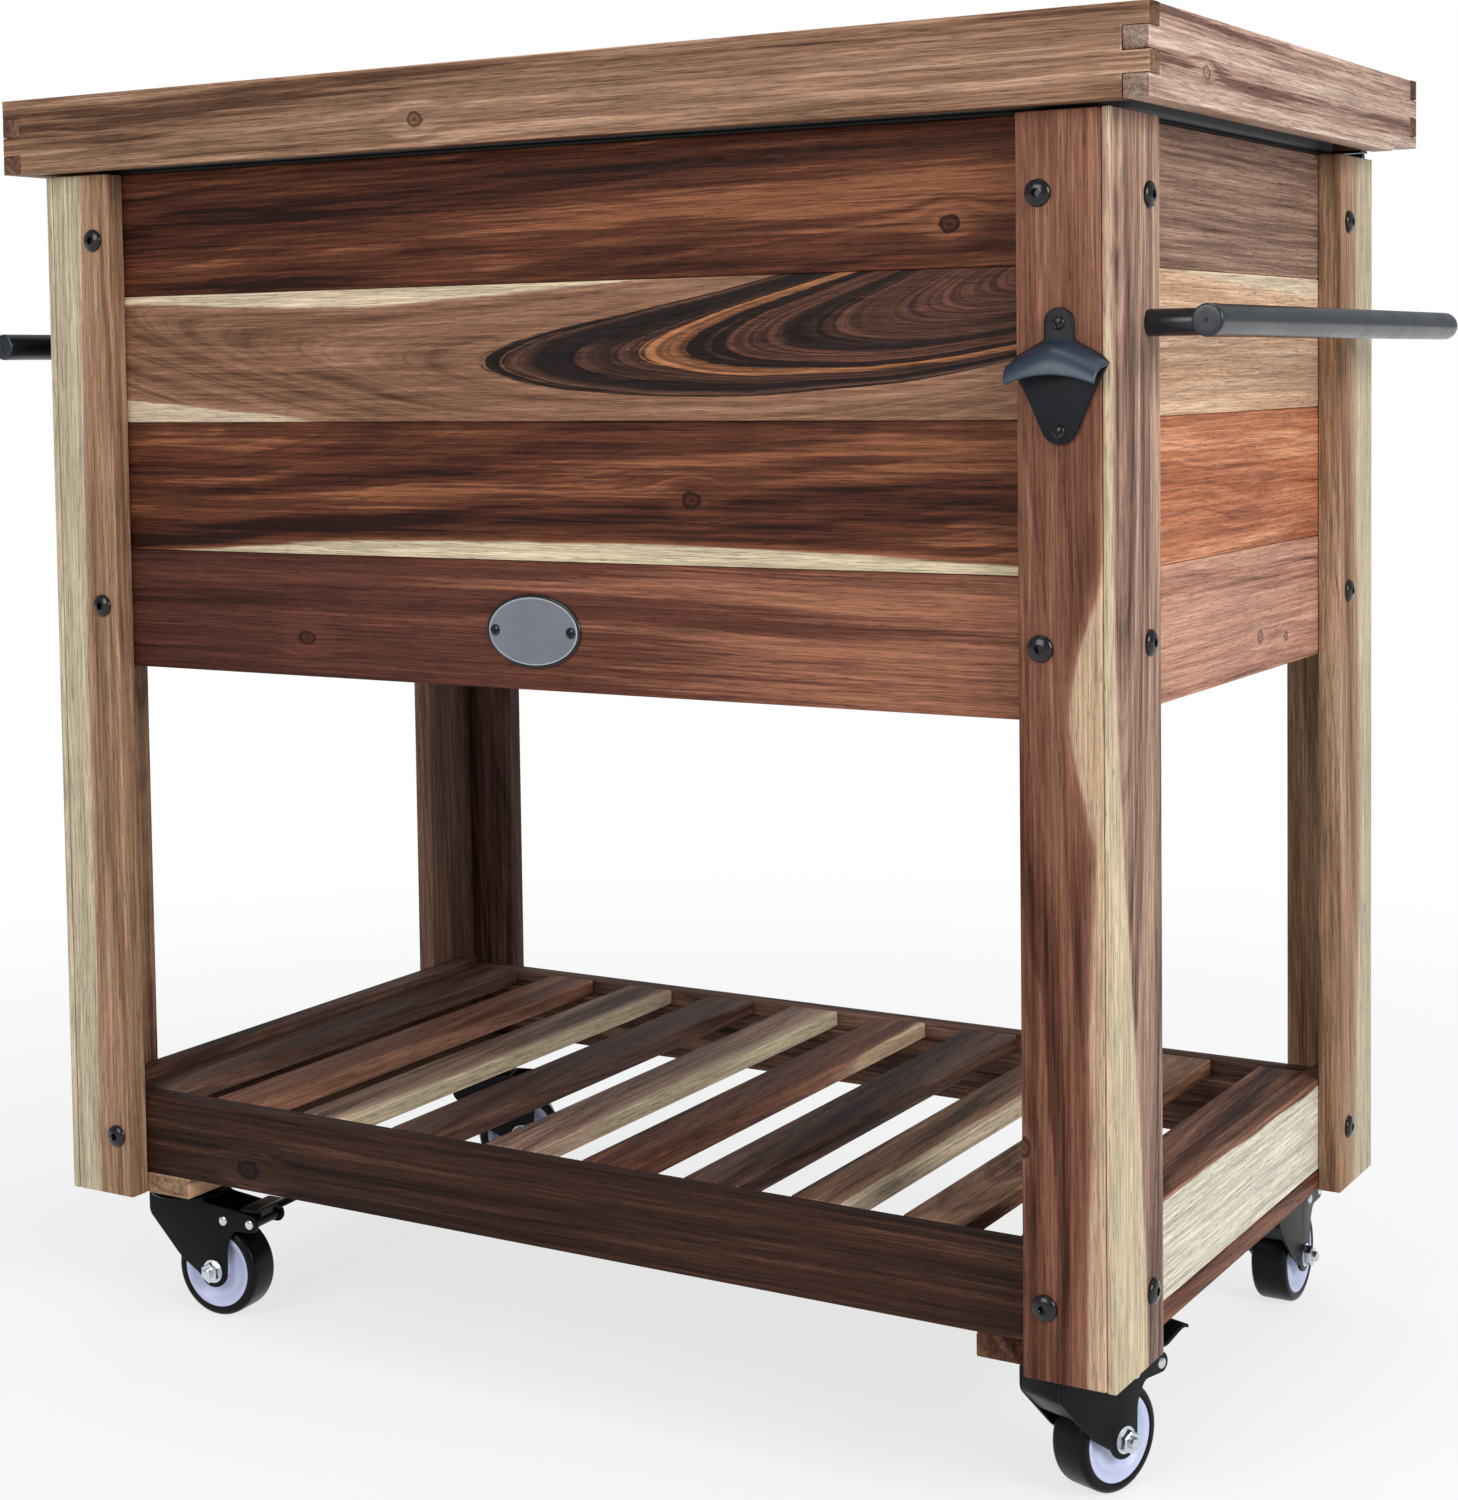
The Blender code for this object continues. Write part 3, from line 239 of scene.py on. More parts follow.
def polygon_factors(sides: int, steps: int, rows: int) -> np.ndarray:
    """What turns the rings of a turned shape into polygons.

    The factor is the cosine of half a side over the cosine of the angle from the side's middle.

    Args:
        sides: Sides of the polygon.
        steps: Points round the axis.
        rows: Rings.

    Returns:
        One row of factors for each ring.
    """
    half = math.pi / sides
    away = (np.arange(steps) * math.tau / steps + half) % (2 * half) - half
    return np.tile(np.cos(half) / np.cos(away), (rows, 1))


def arc_points(
    centre: tuple[float, float], radius: float, start: float, end: float, steps: int
) -> np.ndarray:
    """Points along an arc.

    Args:
        centre: Middle of the arc.
        radius: Its radius.
        start: Angle of the first point, in degrees.
        end: Angle of the last point, in degrees.
        steps: Stretches between points.

    Returns:
        One row for each point.
    """
    angle = np.radians(np.linspace(start, end, steps + 1))
    return np.column_stack([centre[0] + radius * np.cos(angle), centre[1] + radius * np.sin(angle)])


def rounded_rectangle(width: float, height: float, radius: float, steps: int = 3) -> np.ndarray:
    """A rectangle about the origin with rounded corners, turning left.

    Args:
        width: Size along X.
        height: Size along Y.
        radius: Radius of the corners.
        steps: Stretches in each corner.

    Returns:
        One row for each point.
    """
    x, y = width / 2 - radius, height / 2 - radius
    corners = [((x, y), 0), ((-x, y), 90), ((-x, -y), 180), ((x, -y), 270)]
    return np.concatenate([arc_points(c, radius, start, start + 90, steps) for c, start in corners])


def fillet(outline: Sequence[tuple[float, float]], radius: float, steps: int = 4) -> np.ndarray:
    """Rounds every corner of a closed outline.

    Each corner is replaced by a quadratic curve between points at the radius, or less on a short
    side, from it.

    Args:
        outline: Corners in order.
        radius: How far from a corner its rounding starts.
        steps: Stretches in each rounding.

    Returns:
        One row for each point.
    """
    corners = np.array(outline, float)
    t = np.linspace(0.0, 1.0, steps + 1)[:, None]
    points = []
    for here, before, after in zip(corners, np.roll(corners, 1, axis=0), np.roll(corners, -1, axis=0)):
        reach = [min(radius, np.linalg.norm(other - here) * 0.45) for other in (before, after)]
        start = here + (before - here) / np.linalg.norm(before - here) * reach[0]
        end = here + (after - here) / np.linalg.norm(after - here) * reach[1]
        points.append((1 - t) ** 2 * start + 2 * t * (1 - t) * here + t**2 * end)
    return np.concatenate(points)


# Pieces

PIECES: list[bpy.types.Object] = []


def build_piece(
    name: str,
    shape: Shape,
    material: bpy.types.Material,
    body: str,
    nodes: Sequence[str] = (),
    smooth: float = 40.0,
) -> bpy.types.Object:
    """Makes a shape a piece of the cooler, in its finish and on its body.

    Args:
        name: Name of the piece.
        shape: Its shape, in the world.
        material: Its finish.
        body: The moving body that carries it.
        nodes: The solids that it stands for.
        smooth: Edges sharper than this many degrees stay sharp.

    Returns:
        The new object.
    """
    mesh = bpy.data.meshes.new(name)
    mesh.from_pydata(shape.points.tolist(), [], shape.faces)
    # Rounded edges, which the finishes lighten as real wear and as a painted highlight
    wear = mesh.attributes.new("wear", "FLOAT", "POINT")
    wear.data.foreach_set("value", shape.wear.astype(np.float32))
    mesh.materials.append(material)
    mesh.shade_smooth()
    mesh.set_sharp_from_angle(angle=math.radians(smooth))
    mesh.validate()
    piece = bpy.data.objects.new(name, mesh)
    bpy.context.scene.collection.objects.link(piece)
    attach(piece, body)
    if nodes:
        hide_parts(*nodes)
    PIECES.append(piece)
    LOG.info("%s: %d points on %s", name, len(shape.points), body)
    return piece


def corners_of(node: str) -> tuple[np.ndarray, np.ndarray]:
    """The lowest and highest corner of a solid, as arrays."""
    low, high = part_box(node)
    return np.array(low), np.array(high)


# Finishes


class Nodes:
    """Writes the nodes of a material or group in short steps."""

    def __init__(self, tree: bpy.types.NodeTree) -> None:
        """Starts on a node tree."""
        self.tree = tree

    def add(self, kind: str, values: dict | None = None, **settings: object) -> bpy.types.Node:
        """Adds a node.

        Args:
            kind: Its type, without ShaderNode in front.
            values: What its inputs get, by name or number: a value, or a socket to link.
            settings: Its own settings.

        Returns:
            The node.
        """
        node = self.tree.nodes.new(kind if kind.startswith("NodeGroup") else "ShaderNode" + kind)
        for key, value in settings.items():
            setattr(node, key, value)
        for key, value in (values or {}).items():
            self.feed(node.inputs[key], value)
        return node

    def feed(self, target: Socket, value: object) -> None:
        """Links a socket to an input, or sets the input's own value.

        Args:
            target: The input.
            value: The socket or the value.
        """
        if isinstance(value, Socket):
            self.tree.links.new(value, target)
        else:
            target.default_value = value

    def math(self, operation: str, *values: object, clamp: bool = False) -> Socket:
        """The result of a Math node."""
        numbered = dict(enumerate(values))
        return self.add("Math", numbered, operation=operation, use_clamp=clamp).outputs[0]

    def plus(self, *values: object) -> Socket:
        """The sum of several numbers."""
        return reduce(lambda total, value: self.math("ADD", total, value), values)

    def minus(self, first: object, second: object) -> Socket:
        """The first number less the second."""
        return self.math("SUBTRACT", first, second)

    def times(self, *values: object) -> Socket:
        """The product of several numbers."""
        return reduce(lambda total, value: self.math("MULTIPLY", total, value), values)

    def fused(self, value: object, factor: object, extra: object) -> Socket:
        """A number times a factor, plus something extra."""
        return self.math("MULTIPLY_ADD", value, factor, extra)

    def centred(self, value: Socket, spread: float = 1.0) -> Socket:
        """A number less a half, times a spread."""
        return self.times(self.minus(value, 0.5), spread)

    def vector(self, operation: str, *values: object) -> Socket:
        """The result of a Vector Math node, a number for a length and a vector for the rest."""
        node = self.add("VectorMath", dict(enumerate(values)), operation=operation)
        return node.outputs["Value" if operation == "LENGTH" else "Vector"]

    def scale(self, vector: object, factor: object) -> Socket:
        """A vector or a colour times a number."""
        node = self.add("VectorMath", {0: vector, "Scale": factor}, operation="SCALE")
        return node.outputs["Vector"]

    def combine(self, x: object, y: object, z: object) -> Socket:
        """A vector of three numbers."""
        return self.add("CombineXYZ", {0: x, 1: y, 2: z}).outputs[0]

    def parts(self, vector: Socket) -> list[Socket]:
        """The three numbers of a vector."""
        return list(self.add("SeparateXYZ", {0: vector}).outputs)

    def fractal(self, kind: str, place: dict, detail: float, roughness: float) -> Socket:
        """Noise at a place of one number or three."""
        values = {**place, "Scale": 1.0, "Detail": detail, "Roughness": roughness}
        return self.add("TexNoise", values, noise_dimensions=kind).outputs["Fac"]

    def noise(self, vector: Socket, scale: Point, detail: float = 2.0, roughness: float = 0.5) -> Socket:
        """Noise in space, with its own scale along each axis."""
        return self.fractal("3D", {"Vector": self.vector("MULTIPLY", vector, scale)}, detail, roughness)

    def noise_along(self, number: Socket, detail: float = 2.0, roughness: float = 0.5) -> Socket:
        """Noise along one number."""
        return self.fractal("1D", {"W": number}, detail, roughness)

    def spread(self, vector: Socket, scale: Point, detail: float = 3.0, roughness: float = 0.58) -> Socket:
        """Noise in space whose usual range is drawn out to 0 to 1."""
        return self.remap(self.noise(vector, scale, detail, roughness), *USUAL_NOISE)

    def ramp(self, value: Socket, stops: Sequence[tuple[float, Colour]]) -> Socket:
        """Colours along a number.

        Args:
            value: The number, 0 to 1.
            stops: Where each colour lies on it.

        Returns:
            The colour.
        """
        node = self.add("ValToRGB", {0: value})
        elements = node.color_ramp.elements
        while len(elements) < len(stops):
            elements.new(1.0)
        for element, (place, colour) in zip(elements, stops):
            element.position = place
            element.color = (*colour, 1.0)
        return node.outputs["Color"]

    def remap(self, value: Socket, low: object, high: object, start: float = 0.0, end: float = 1.0) -> Socket:
        """Carries a range of numbers smoothly to another, and stops at its ends."""
        values = {"Value": value, "From Min": low, "From Max": high, "To Min": start, "To Max": end}
        return self.add("MapRange", values, interpolation_type="SMOOTHSTEP").outputs["Result"]

    def blend(self, share: object, first: object, second: object, mode: str = "MIX") -> Socket:
        """A mix of two colours.

        Args:
            share: How much of the second, 0 to 1.
            first: The first colour.
            second: The second colour.
            mode: How they mix.

        Returns:
            The mix.
        """
        node = self.add("Mix", data_type="RGBA", blend_type=mode)
        for spot, value in ((0, share), (6, first), (7, second)):
            self.feed(node.inputs[spot], (*value, 1.0) if isinstance(value, tuple) else value)
        return node.outputs[2]


def new_material(name: str) -> tuple[bpy.types.Material, Nodes, bpy.types.Node]:
    """A material with an empty shader.

    Args:
        name: Name of the material.

    Returns:
        The material, its node writer and its shader.
    """
    material = bpy.data.materials.new(name)
    material.use_nodes = True
    return material, Nodes(material.node_tree), material.node_tree.nodes["Principled BSDF"]


@dataclass(frozen=True)
class Tone:
    """Colours of a kind of board, from its dark streaks to its sapwood."""

    streak: Colour
    deep: Colour
    warm: Colour
    light: Colour
    sap: Colour


class Timber(Enum):
    """The kinds of board that the cooler is made of."""

    RUST = Tone((0.019, 0.005, 0.003), (0.052, 0.014, 0.007), (0.098, 0.030, 0.015),
                (0.230, 0.086, 0.040), (0.60, 0.50, 0.34))
    TAN = Tone((0.060, 0.026, 0.016), (0.135, 0.062, 0.036), (0.215, 0.107, 0.064),
               (0.310, 0.168, 0.104), (0.58, 0.47, 0.33))
    SIENNA = Tone((0.030, 0.009, 0.006), (0.064, 0.020, 0.013), (0.104, 0.034, 0.022),
                  (0.295, 0.122, 0.070), (0.52, 0.40, 0.28))
    CHESTNUT = Tone((0.040, 0.013, 0.008), (0.098, 0.034, 0.020), (0.180, 0.075, 0.045),
                    (0.290, 0.140, 0.086), (0.50, 0.345, 0.225))
    UMBER = Tone((0.022, 0.011, 0.008), (0.062, 0.028, 0.020), (0.115, 0.058, 0.042),
                 (0.200, 0.108, 0.076), (0.48, 0.38, 0.27))
    HONEY = Tone((0.090, 0.042, 0.025), (0.175, 0.090, 0.053), (0.262, 0.146, 0.090),
                 (0.400, 0.242, 0.156), (0.54, 0.43, 0.30))
    STRAW = Tone((0.110, 0.052, 0.032), (0.210, 0.112, 0.064), (0.320, 0.188, 0.112),
                 (0.440, 0.290, 0.185), (0.51, 0.43, 0.30))
    WHEAT = Tone((0.230, 0.120, 0.070), (0.440, 0.255, 0.155), (0.565, 0.350, 0.222),
                 (0.660, 0.450, 0.305), (0.74, 0.60, 0.43))
    ORANGE = Tone((0.150, 0.044, 0.024), (0.310, 0.100, 0.048), (0.430, 0.163, 0.082),
                  (0.560, 0.265, 0.145), (0.66, 0.50, 0.33))
    PEACH = Tone((0.160, 0.075, 0.055), (0.370, 0.180, 0.120), (0.480, 0.260, 0.180),
                 (0.580, 0.350, 0.255), (0.68, 0.52, 0.38))
    ROSE = Tone((0.150, 0.080, 0.062), (0.340, 0.210, 0.165), (0.470, 0.330, 0.262),
                (0.600, 0.460, 0.375), (0.66, 0.52, 0.40))
    GREY = Tone((0.070, 0.038, 0.028), (0.190, 0.108, 0.080), (0.330, 0.203, 0.150),
                (0.500, 0.335, 0.245), (0.56, 0.46, 0.31))
    CREAM = Tone((0.045, 0.018, 0.012), (0.120, 0.052, 0.033), (0.210, 0.100, 0.064),
                 (0.300, 0.165, 0.110), (0.64, 0.60, 0.49))
    DARK = Tone((0.008, 0.003, 0.002), (0.020, 0.008, 0.005), (0.040, 0.016, 0.010),
                (0.090, 0.040, 0.026), (0.46, 0.36, 0.25))


NO_KNOT: Point = (9.0, 0.0, 0.001)  # a knot far off any board


@dataclass(frozen=True)
class Figure:
    """How the grain of one board runs, in metres from the board's middle.

    Attributes:
        timber: Colours of the board.
        seed: Sets its own pattern apart from other boards'.
        heart: Where along and across the board, and how deep, its rings are centred.
        stretch: How much the rings are drawn out along the board: smaller is longer.
        tilt: Slope of the rings along the board.
        curve: How much that slope changes along the board.
        hook: For rings that are nested hooks, how narrow they are. 0 is for long ovals.
        flame: Strength of a dark flame inside the hooks, 0 or 1.
        bands: How close the rings lie.
        contrast: Strength of light and dark between the rings.
        bias: Lighter above 0, darker below.
        fade: How much lighter the board grows along itself, per metre.
        warp: How far the grain wanders.
        sap_high: Lower edge of the sapwood on the high side: offset, slope and curve along the board.
        sap_low: Upper edge of the sapwood on the low side, in the same way.
        bulge: Place along the board, depth and length of a bay where the sapwood reaches in.
        soft: Width of the change from heartwood to sapwood.
        knot: Place along and across, and radius, of a knot.
        second_knot: The same of another.
    """

    timber: Timber
    seed: float
    heart: Point = (1.6, 0.03, 0.05)
    stretch: float = 0.05
    tilt: float = 0.0
    curve: float = 0.0
    hook: float = 0.0
    flame: float = 0.0
    bands: float = 70.0
    contrast: float = 1.5
    bias: float = 0.0
    fade: float = 0.0
    warp: float = 0.010
    sap_high: Point = (1.0, 0.0, 0.0)
    sap_low: Point = (-1.0, 0.0, 0.0)
    bulge: Point = (0.0, 0.0, 0.1)
    soft: float = 0.0020
    knot: Point = NO_KNOT
    second_knot: Point = NO_KNOT


def socket_name(name: str) -> str:
    """The grain's input for a field of a figure or a tone."""
    return name.replace("_", " ").title()


class AcaciaGrain:
    """The node group that turns a place on a board into its colour, roughness and height."""

    seed_step = (7.13, 3.71, 5.19)  # how far a seed of 1 moves the noise
    charred = (0.007, 0.005, 0.006)
    # Colours of the flame, by how far in their hook's tip lies, in metres
    flame_stops = (
        (0.000, (0.050, 0.024, 0.016)), (0.004, (0.007, 0.004, 0.004)), (0.012, (0.009, 0.005, 0.005)),
        (0.016, (0.066, 0.030, 0.020)), (0.026, (0.100, 0.046, 0.030)), (0.036, (0.046, 0.020, 0.014)),
        (0.045, (0.007, 0.004, 0.005)), (0.075, (0.005, 0.003, 0.004)), (0.086, (0.054, 0.023, 0.016)),
        (0.104, (0.024, 0.010, 0.008)), (0.114, (0.075, 0.031, 0.021)), (0.124, (0.040, 0.016, 0.011)),
        (0.129, (0.280, 0.115, 0.050)), (0.155, (0.250, 0.100, 0.044)), (0.160, (0.008, 0.004, 0.005)),
        (0.186, (0.014, 0.006, 0.006)), (0.198, (0.100, 0.038, 0.024)), (0.212, (0.045, 0.018, 0.013)),
        (0.228, (0.115, 0.044, 0.028)), (0.239, (0.007, 0.004, 0.005)), (0.262, (0.012, 0.006, 0.006)),
        (0.285, (0.076, 0.030, 0.020)), (0.310, (0.034, 0.014, 0.010)), (0.350, (0.085, 0.033, 0.022)),
    )
    flame_reach = 0.35

    def __init__(self) -> None:
        """Builds the group, and the place and fibres that all its parts share."""
        self.tree = bpy.data.node_groups.new("acacia_grain", "ShaderNodeTree")
        inputs = {"Place": "Vector", "Facing": "Vector", "Wear": "Float"}
        for item in fields(Figure)[1:]:
            inputs[socket_name(item.name)] = "Vector" if item.type == Point else "Float"
        inputs |= {socket_name(item.name): "Color" for item in fields(Tone)}
        outputs = {"Colour": "Color", "Roughness": "Float", "Height": "Float"}
        for direction, sockets in (("INPUT", inputs), ("OUTPUT", outputs)):
            for name, kind in sockets.items():
                self.tree.interface.new_socket(name, in_out=direction, socket_type=f"NodeSocket{kind}")
        self.n = n = Nodes(self.tree)
        self.given = n.add("NodeGroupInput").outputs
        self.u, self.v, self.w = n.parts(self.given["Place"])
        self.place = n.vector("ADD", self.given["Place"], n.scale(self.seed_step, self.given["Seed"]))
        self.streaks = n.spread(self.place, (3.5, 110.0, 110.0))
        self.hair = n.spread(self.place, (7.0, 360.0, 360.0))
        self.fibre = n.spread(self.place, (24.0, 1150.0, 1150.0), 2.0)
        self.write()

    def write(self) -> None:
        """Writes the nodes: the heartwood, and the flame, sapwood, knots and surface over it."""
        n, seed = self.n, self.given["Seed"]
        lumps = n.spread(self.place, (90.0, 90.0, 90.0), 2.0)
        ratios, nears, pushes = zip(*(self.knot(name, lumps) for name in ("Knot", "Second Knot")))
        ring, inwards, above = self.rings(n.plus(*pushes))
        along_ring = n.combine(n.fused(self.u, 7.0, seed), n.times(ring, 5.0), seed)
        threads = n.spread(along_ring, (1.0, 1.0, 1.0))
        colour = self.heartwood(ring, threads, n.math("MAXIMUM", *nears))
        colour = self.flame(colour, inwards, above)
        colour = self.sapwood(colour, threads)
        for ratio in ratios:
            colour = self.knot_tint(colour, ratio)
        self.surface(colour)

    def knot(self, name: str, rough: Socket) -> tuple[Socket, Socket, Socket]:
        """Distance to a knot over its radius, how near it is, and how far it pushes the grain.

        Args:
            name: The input that holds the knot.
            rough: Noise that makes the knot uneven.

        Returns:
            The three numbers.
        """
        n = self.n
        knot_u, knot_v, radius = n.parts(self.given[name])
        away_v = n.minus(self.v, knot_v)
        away_u = n.times(n.minus(self.u, knot_u), 0.72)
        distance = n.math("DIVIDE", n.vector("LENGTH", n.combine(away_u, away_v, 0.0)), radius)
        near = n.remap(distance, 0.0, 6.0, 1.0, 0.0)
        uneven = n.remap(rough, 0.0, 1.0, 0.88, 1.14)
        return n.times(distance, uneven), near, n.times(near, 0.86, away_v)

    def rings(self, push: Socket) -> tuple[Socket, Socket, Socket]:
        """Number of the ring at a place, how far inside the outermost hook, and on which side.

        For long ovals the number is the length of the vector from the heart, drawn in along the
        board, times the rings' closeness. For hooks it is the squared distance from their bent axis
        times their narrowness, less the distance along the board, times the closeness.

        Args:
            push: How far the knots push the grain.

        Returns:
            Ring number, distance in and distance above the hooks' axis, in metres.
        """
        n, given, place = self.n, self.given, self.place
        heart_u, heart_v, heart_w = n.parts(given["Heart"])
        slow = n.centred(n.noise(place, (2.1, 9.0, 9.0), 3.0, 0.55), 2.4)
        quick = n.centred(n.noise(place, (9.0, 34.0, 34.0), 3.0, 0.55), 0.55)
        deep = n.centred(n.noise(place, (3.4, 16.0, 16.0)))
        from_u = n.minus(self.u, heart_u)
        lean = n.times(from_u, n.fused(from_u, given["Curve"], given["Tilt"]))
        from_v = n.minus(n.minus(self.v, heart_v), n.plus(lean, push))
        from_v = n.fused(n.plus(slow, quick), given["Warp"], from_v)
        from_w = n.fused(deep, given["Warp"], n.minus(self.w, heart_w))
        along = n.times(from_u, given["Stretch"])
        oval = n.vector("LENGTH", n.combine(along, from_v, from_w))
        inwards = n.minus(from_u, n.times(from_v, from_v, given["Hook"]))
        is_hook = n.math("GREATER_THAN", given["Hook"], 0.0)
        choice = {0: is_hook, 2: oval, 3: n.times(inwards, -1.0)}
        depth = n.add("Mix", choice, data_type="FLOAT").outputs[0]
        return n.times(depth, given["Bands"]), inwards, from_v

    def heartwood(self, ring: Socket, threads: Socket, near: Socket) -> Socket:
        """Colour of the heartwood.

        Its tone is a weighted sum of noise along the ring number, of noise drawn out along the board
        at three widths, and of slow patches. Colours run along it from dark streaks to light wood.

        Args:
            ring: Number of the ring.
            threads: Noise drawn out along the rings.
            near: How near a knot is.

        Returns:
            The colour.
        """
        n, given, seed = self.n, self.given, self.given["Seed"]
        bands = n.remap(n.noise_along(n.fused(seed, 17.0, ring), 5.0, 0.66), *USUAL_NOISE)
        patch = n.spread(self.place, (1.5, 10.0, 10.0))
        weights = ((bands, 0.40), (threads, 0.20), (self.streaks, 0.22), (patch, 0.18), (self.hair, 0.16))
        mixed = n.plus(*(n.times(part, weight) for part, weight in weights))
        middle = sum(weight for _, weight in weights) / 2
        tone = n.times(n.minus(mixed, middle), given["Contrast"])
        faded = n.fused(self.u, given["Fade"], given["Bias"])
        tone = n.plus(tone, 0.5, faded, n.times(near, 0.22))
        colour = given["Streak"]
        for low, high, name in ((0.02, 0.26, "Deep"), (0.22, 0.60, "Warm"), (0.60, 1.00, "Light")):
            colour = n.blend(n.remap(tone, low, high), colour, given[name])
        lines = n.remap(n.noise_along(n.fused(ring, 9.0, seed), 1.0), 0.59, 0.70)
        return n.blend(n.times(lines, 0.26), colour, given["Streak"])

    def flame(self, colour: Socket, inwards: Socket, above: Socket) -> Socket:
        """Lays the flame over the heartwood, teased into filaments and charred on its upper side.

        Args:
            colour: Colour under it.
            inwards: How far inside the outermost hook the place lies.
            above: How far above the hooks' axis it lies.

        Returns:
            The colour with the flame.
        """
        n, seed = self.n, self.given["Seed"]
        filament = n.combine(n.fused(self.u, 9.0, seed), n.times(inwards, 150.0), seed)
        filaments = n.spread(filament, (1.0, 1.0, 1.0), 4.0, 0.62)
        teased = n.plus(n.centred(filaments, 0.013), inwards, n.centred(self.hair, 0.005))
        stops = [(reach / self.flame_reach, tint) for reach, tint in self.flame_stops]
        burnt = n.ramp(n.math("DIVIDE", teased, self.flame_reach), stops)
        upper = n.times(n.remap(above, 0.003, 0.013), n.remap(teased, 0.016, 0.040))
        upper = n.times(upper, n.remap(teased, 0.105, 0.128, 0.88, 0.0))
        burnt = n.blend(upper, burnt, self.charred)
        lit = n.scale(burnt, n.remap(filaments, 0.1, 0.9, 0.55, 1.45))
        share = n.times(n.remap(teased, -0.003, 0.003), self.given["Flame"], 0.97)
        return n.blend(share, colour, lit)

    def sap_edge(self, name: str, side: float, wave: Socket) -> tuple[Socket, Socket]:
        """How much of the golden border and of the sapwood shows on one side of the board.

        Args:
            name: The input that holds the edge.
            side: 1 for the high side, -1 for the low one.
            wave: How far the edge wanders here.

        Returns:
            The share of the border and of the sapwood.
        """
        n, u, soft = self.n, self.u, self.given["Soft"]
        offset, slope, curve = n.parts(self.given[name])
        edge = n.plus(offset, n.times(u, u, curve), n.times(u, slope), wave)
        centre, depth, length = n.parts(self.given["Bulge"])
        away = n.math("ABSOLUTE", n.math("DIVIDE", n.minus(u, centre), length))
        bay = n.times(depth, n.remap(away, 0.0, 1.0, 1.0, 0.0))
        past = n.plus(n.times(n.minus(self.v, edge), side), bay)
        return n.remap(past, n.times(soft, -3.0), soft), n.remap(past, n.times(soft, -0.4), soft)

    def sapwood(self, colour: Socket, threads: Socket) -> Socket:
        """Lays a golden border and the sapwood over both sides of the board.

        Args:
            colour: Colour under them.
            threads: Noise drawn out along the rings.

        Returns:
            The colour with the sapwood.
        """
        n, given, streaks = self.n, self.given, self.streaks
        wave = n.centred(n.noise(self.place, (5.0, 0.0, 0.0), 3.0, 0.6), 0.010)
        wave = n.plus(wave, n.centred(streaks, 0.0022))
        edges = [self.sap_edge("Sap High", 1.0, wave), self.sap_edge("Sap Low", -1.0, wave)]
        golden, pale = (n.math("MAXIMUM", *pair) for pair in zip(*edges))
        colour = n.blend(n.times(golden, 0.82), colour, given["Light"])
        sap = n.scale(given["Sap"], n.remap(n.plus(threads, streaks), 0.3, 1.7, 1.04, 0.86))
        return n.blend(pale, colour, sap)

    def knot_tint(self, colour: Socket, ratio: Socket) -> Socket:
        """Lays a knot over the board: a filled disc, a dark rim and a dark heart.

        Args:
            colour: Colour under it.
            ratio: Distance to the knot over its radius.

        Returns:
            The colour with the knot.
        """
        n, given = self.n, self.given
        colour = n.blend(n.remap(ratio, 0.80, 1.05, 0.90, 0.0), colour, given["Deep"])
        rim = n.math("ABSOLUTE", n.minus(ratio, 1.0))
        colour = n.blend(n.remap(rim, 0.08, 0.40, 0.97, 0.0), colour, given["Streak"])
        return n.blend(n.remap(ratio, 0.10, 0.42, 0.9, 0.0), colour, given["Streak"])

    def surface(self, colour: Socket) -> None:
        """Shades the colour by fibres, pores and end grain, lightens rounded edges as real wear and as a
        painted highlight, and ends the group.

        Args:
            colour: The board's colour so far.
        """
        n, fibre, hair = self.n, self.fibre, self.hair
        pores = n.remap(n.noise(self.place, (75.0, 1900.0, 1900.0), 1.0), 0.58, 0.68)
        end = n.remap(n.math("ABSOLUTE", n.parts(self.given["Facing"])[0]), 0.55, 0.85)
        shade = n.times(n.remap(fibre, 0.0, 1.0, 0.80, 1.18), n.remap(hair, 0.0, 1.0, 0.86, 1.12))
        # Darker pores and end grain; rounded edges lighter, as real wear and as a painted highlight
        for amount, source in ((-0.45, pores), (-0.45, end), (0.22, self.given["Wear"])):
            shade = n.times(shade, n.fused(source, amount, 1.0))
        rough = n.plus(n.remap(fibre, 0.0, 1.0, 0.46, 0.58), n.times(pores, 0.15))
        rough = n.math("MULTIPLY_ADD", end, 0.20, rough, clamp=True)
        height = n.fused(pores, -0.9, n.plus(n.times(fibre, 0.5), n.times(hair, 0.5)))
        n.add("NodeGroupOutput", {0: n.scale(colour, shade), 1: rough, 2: height})


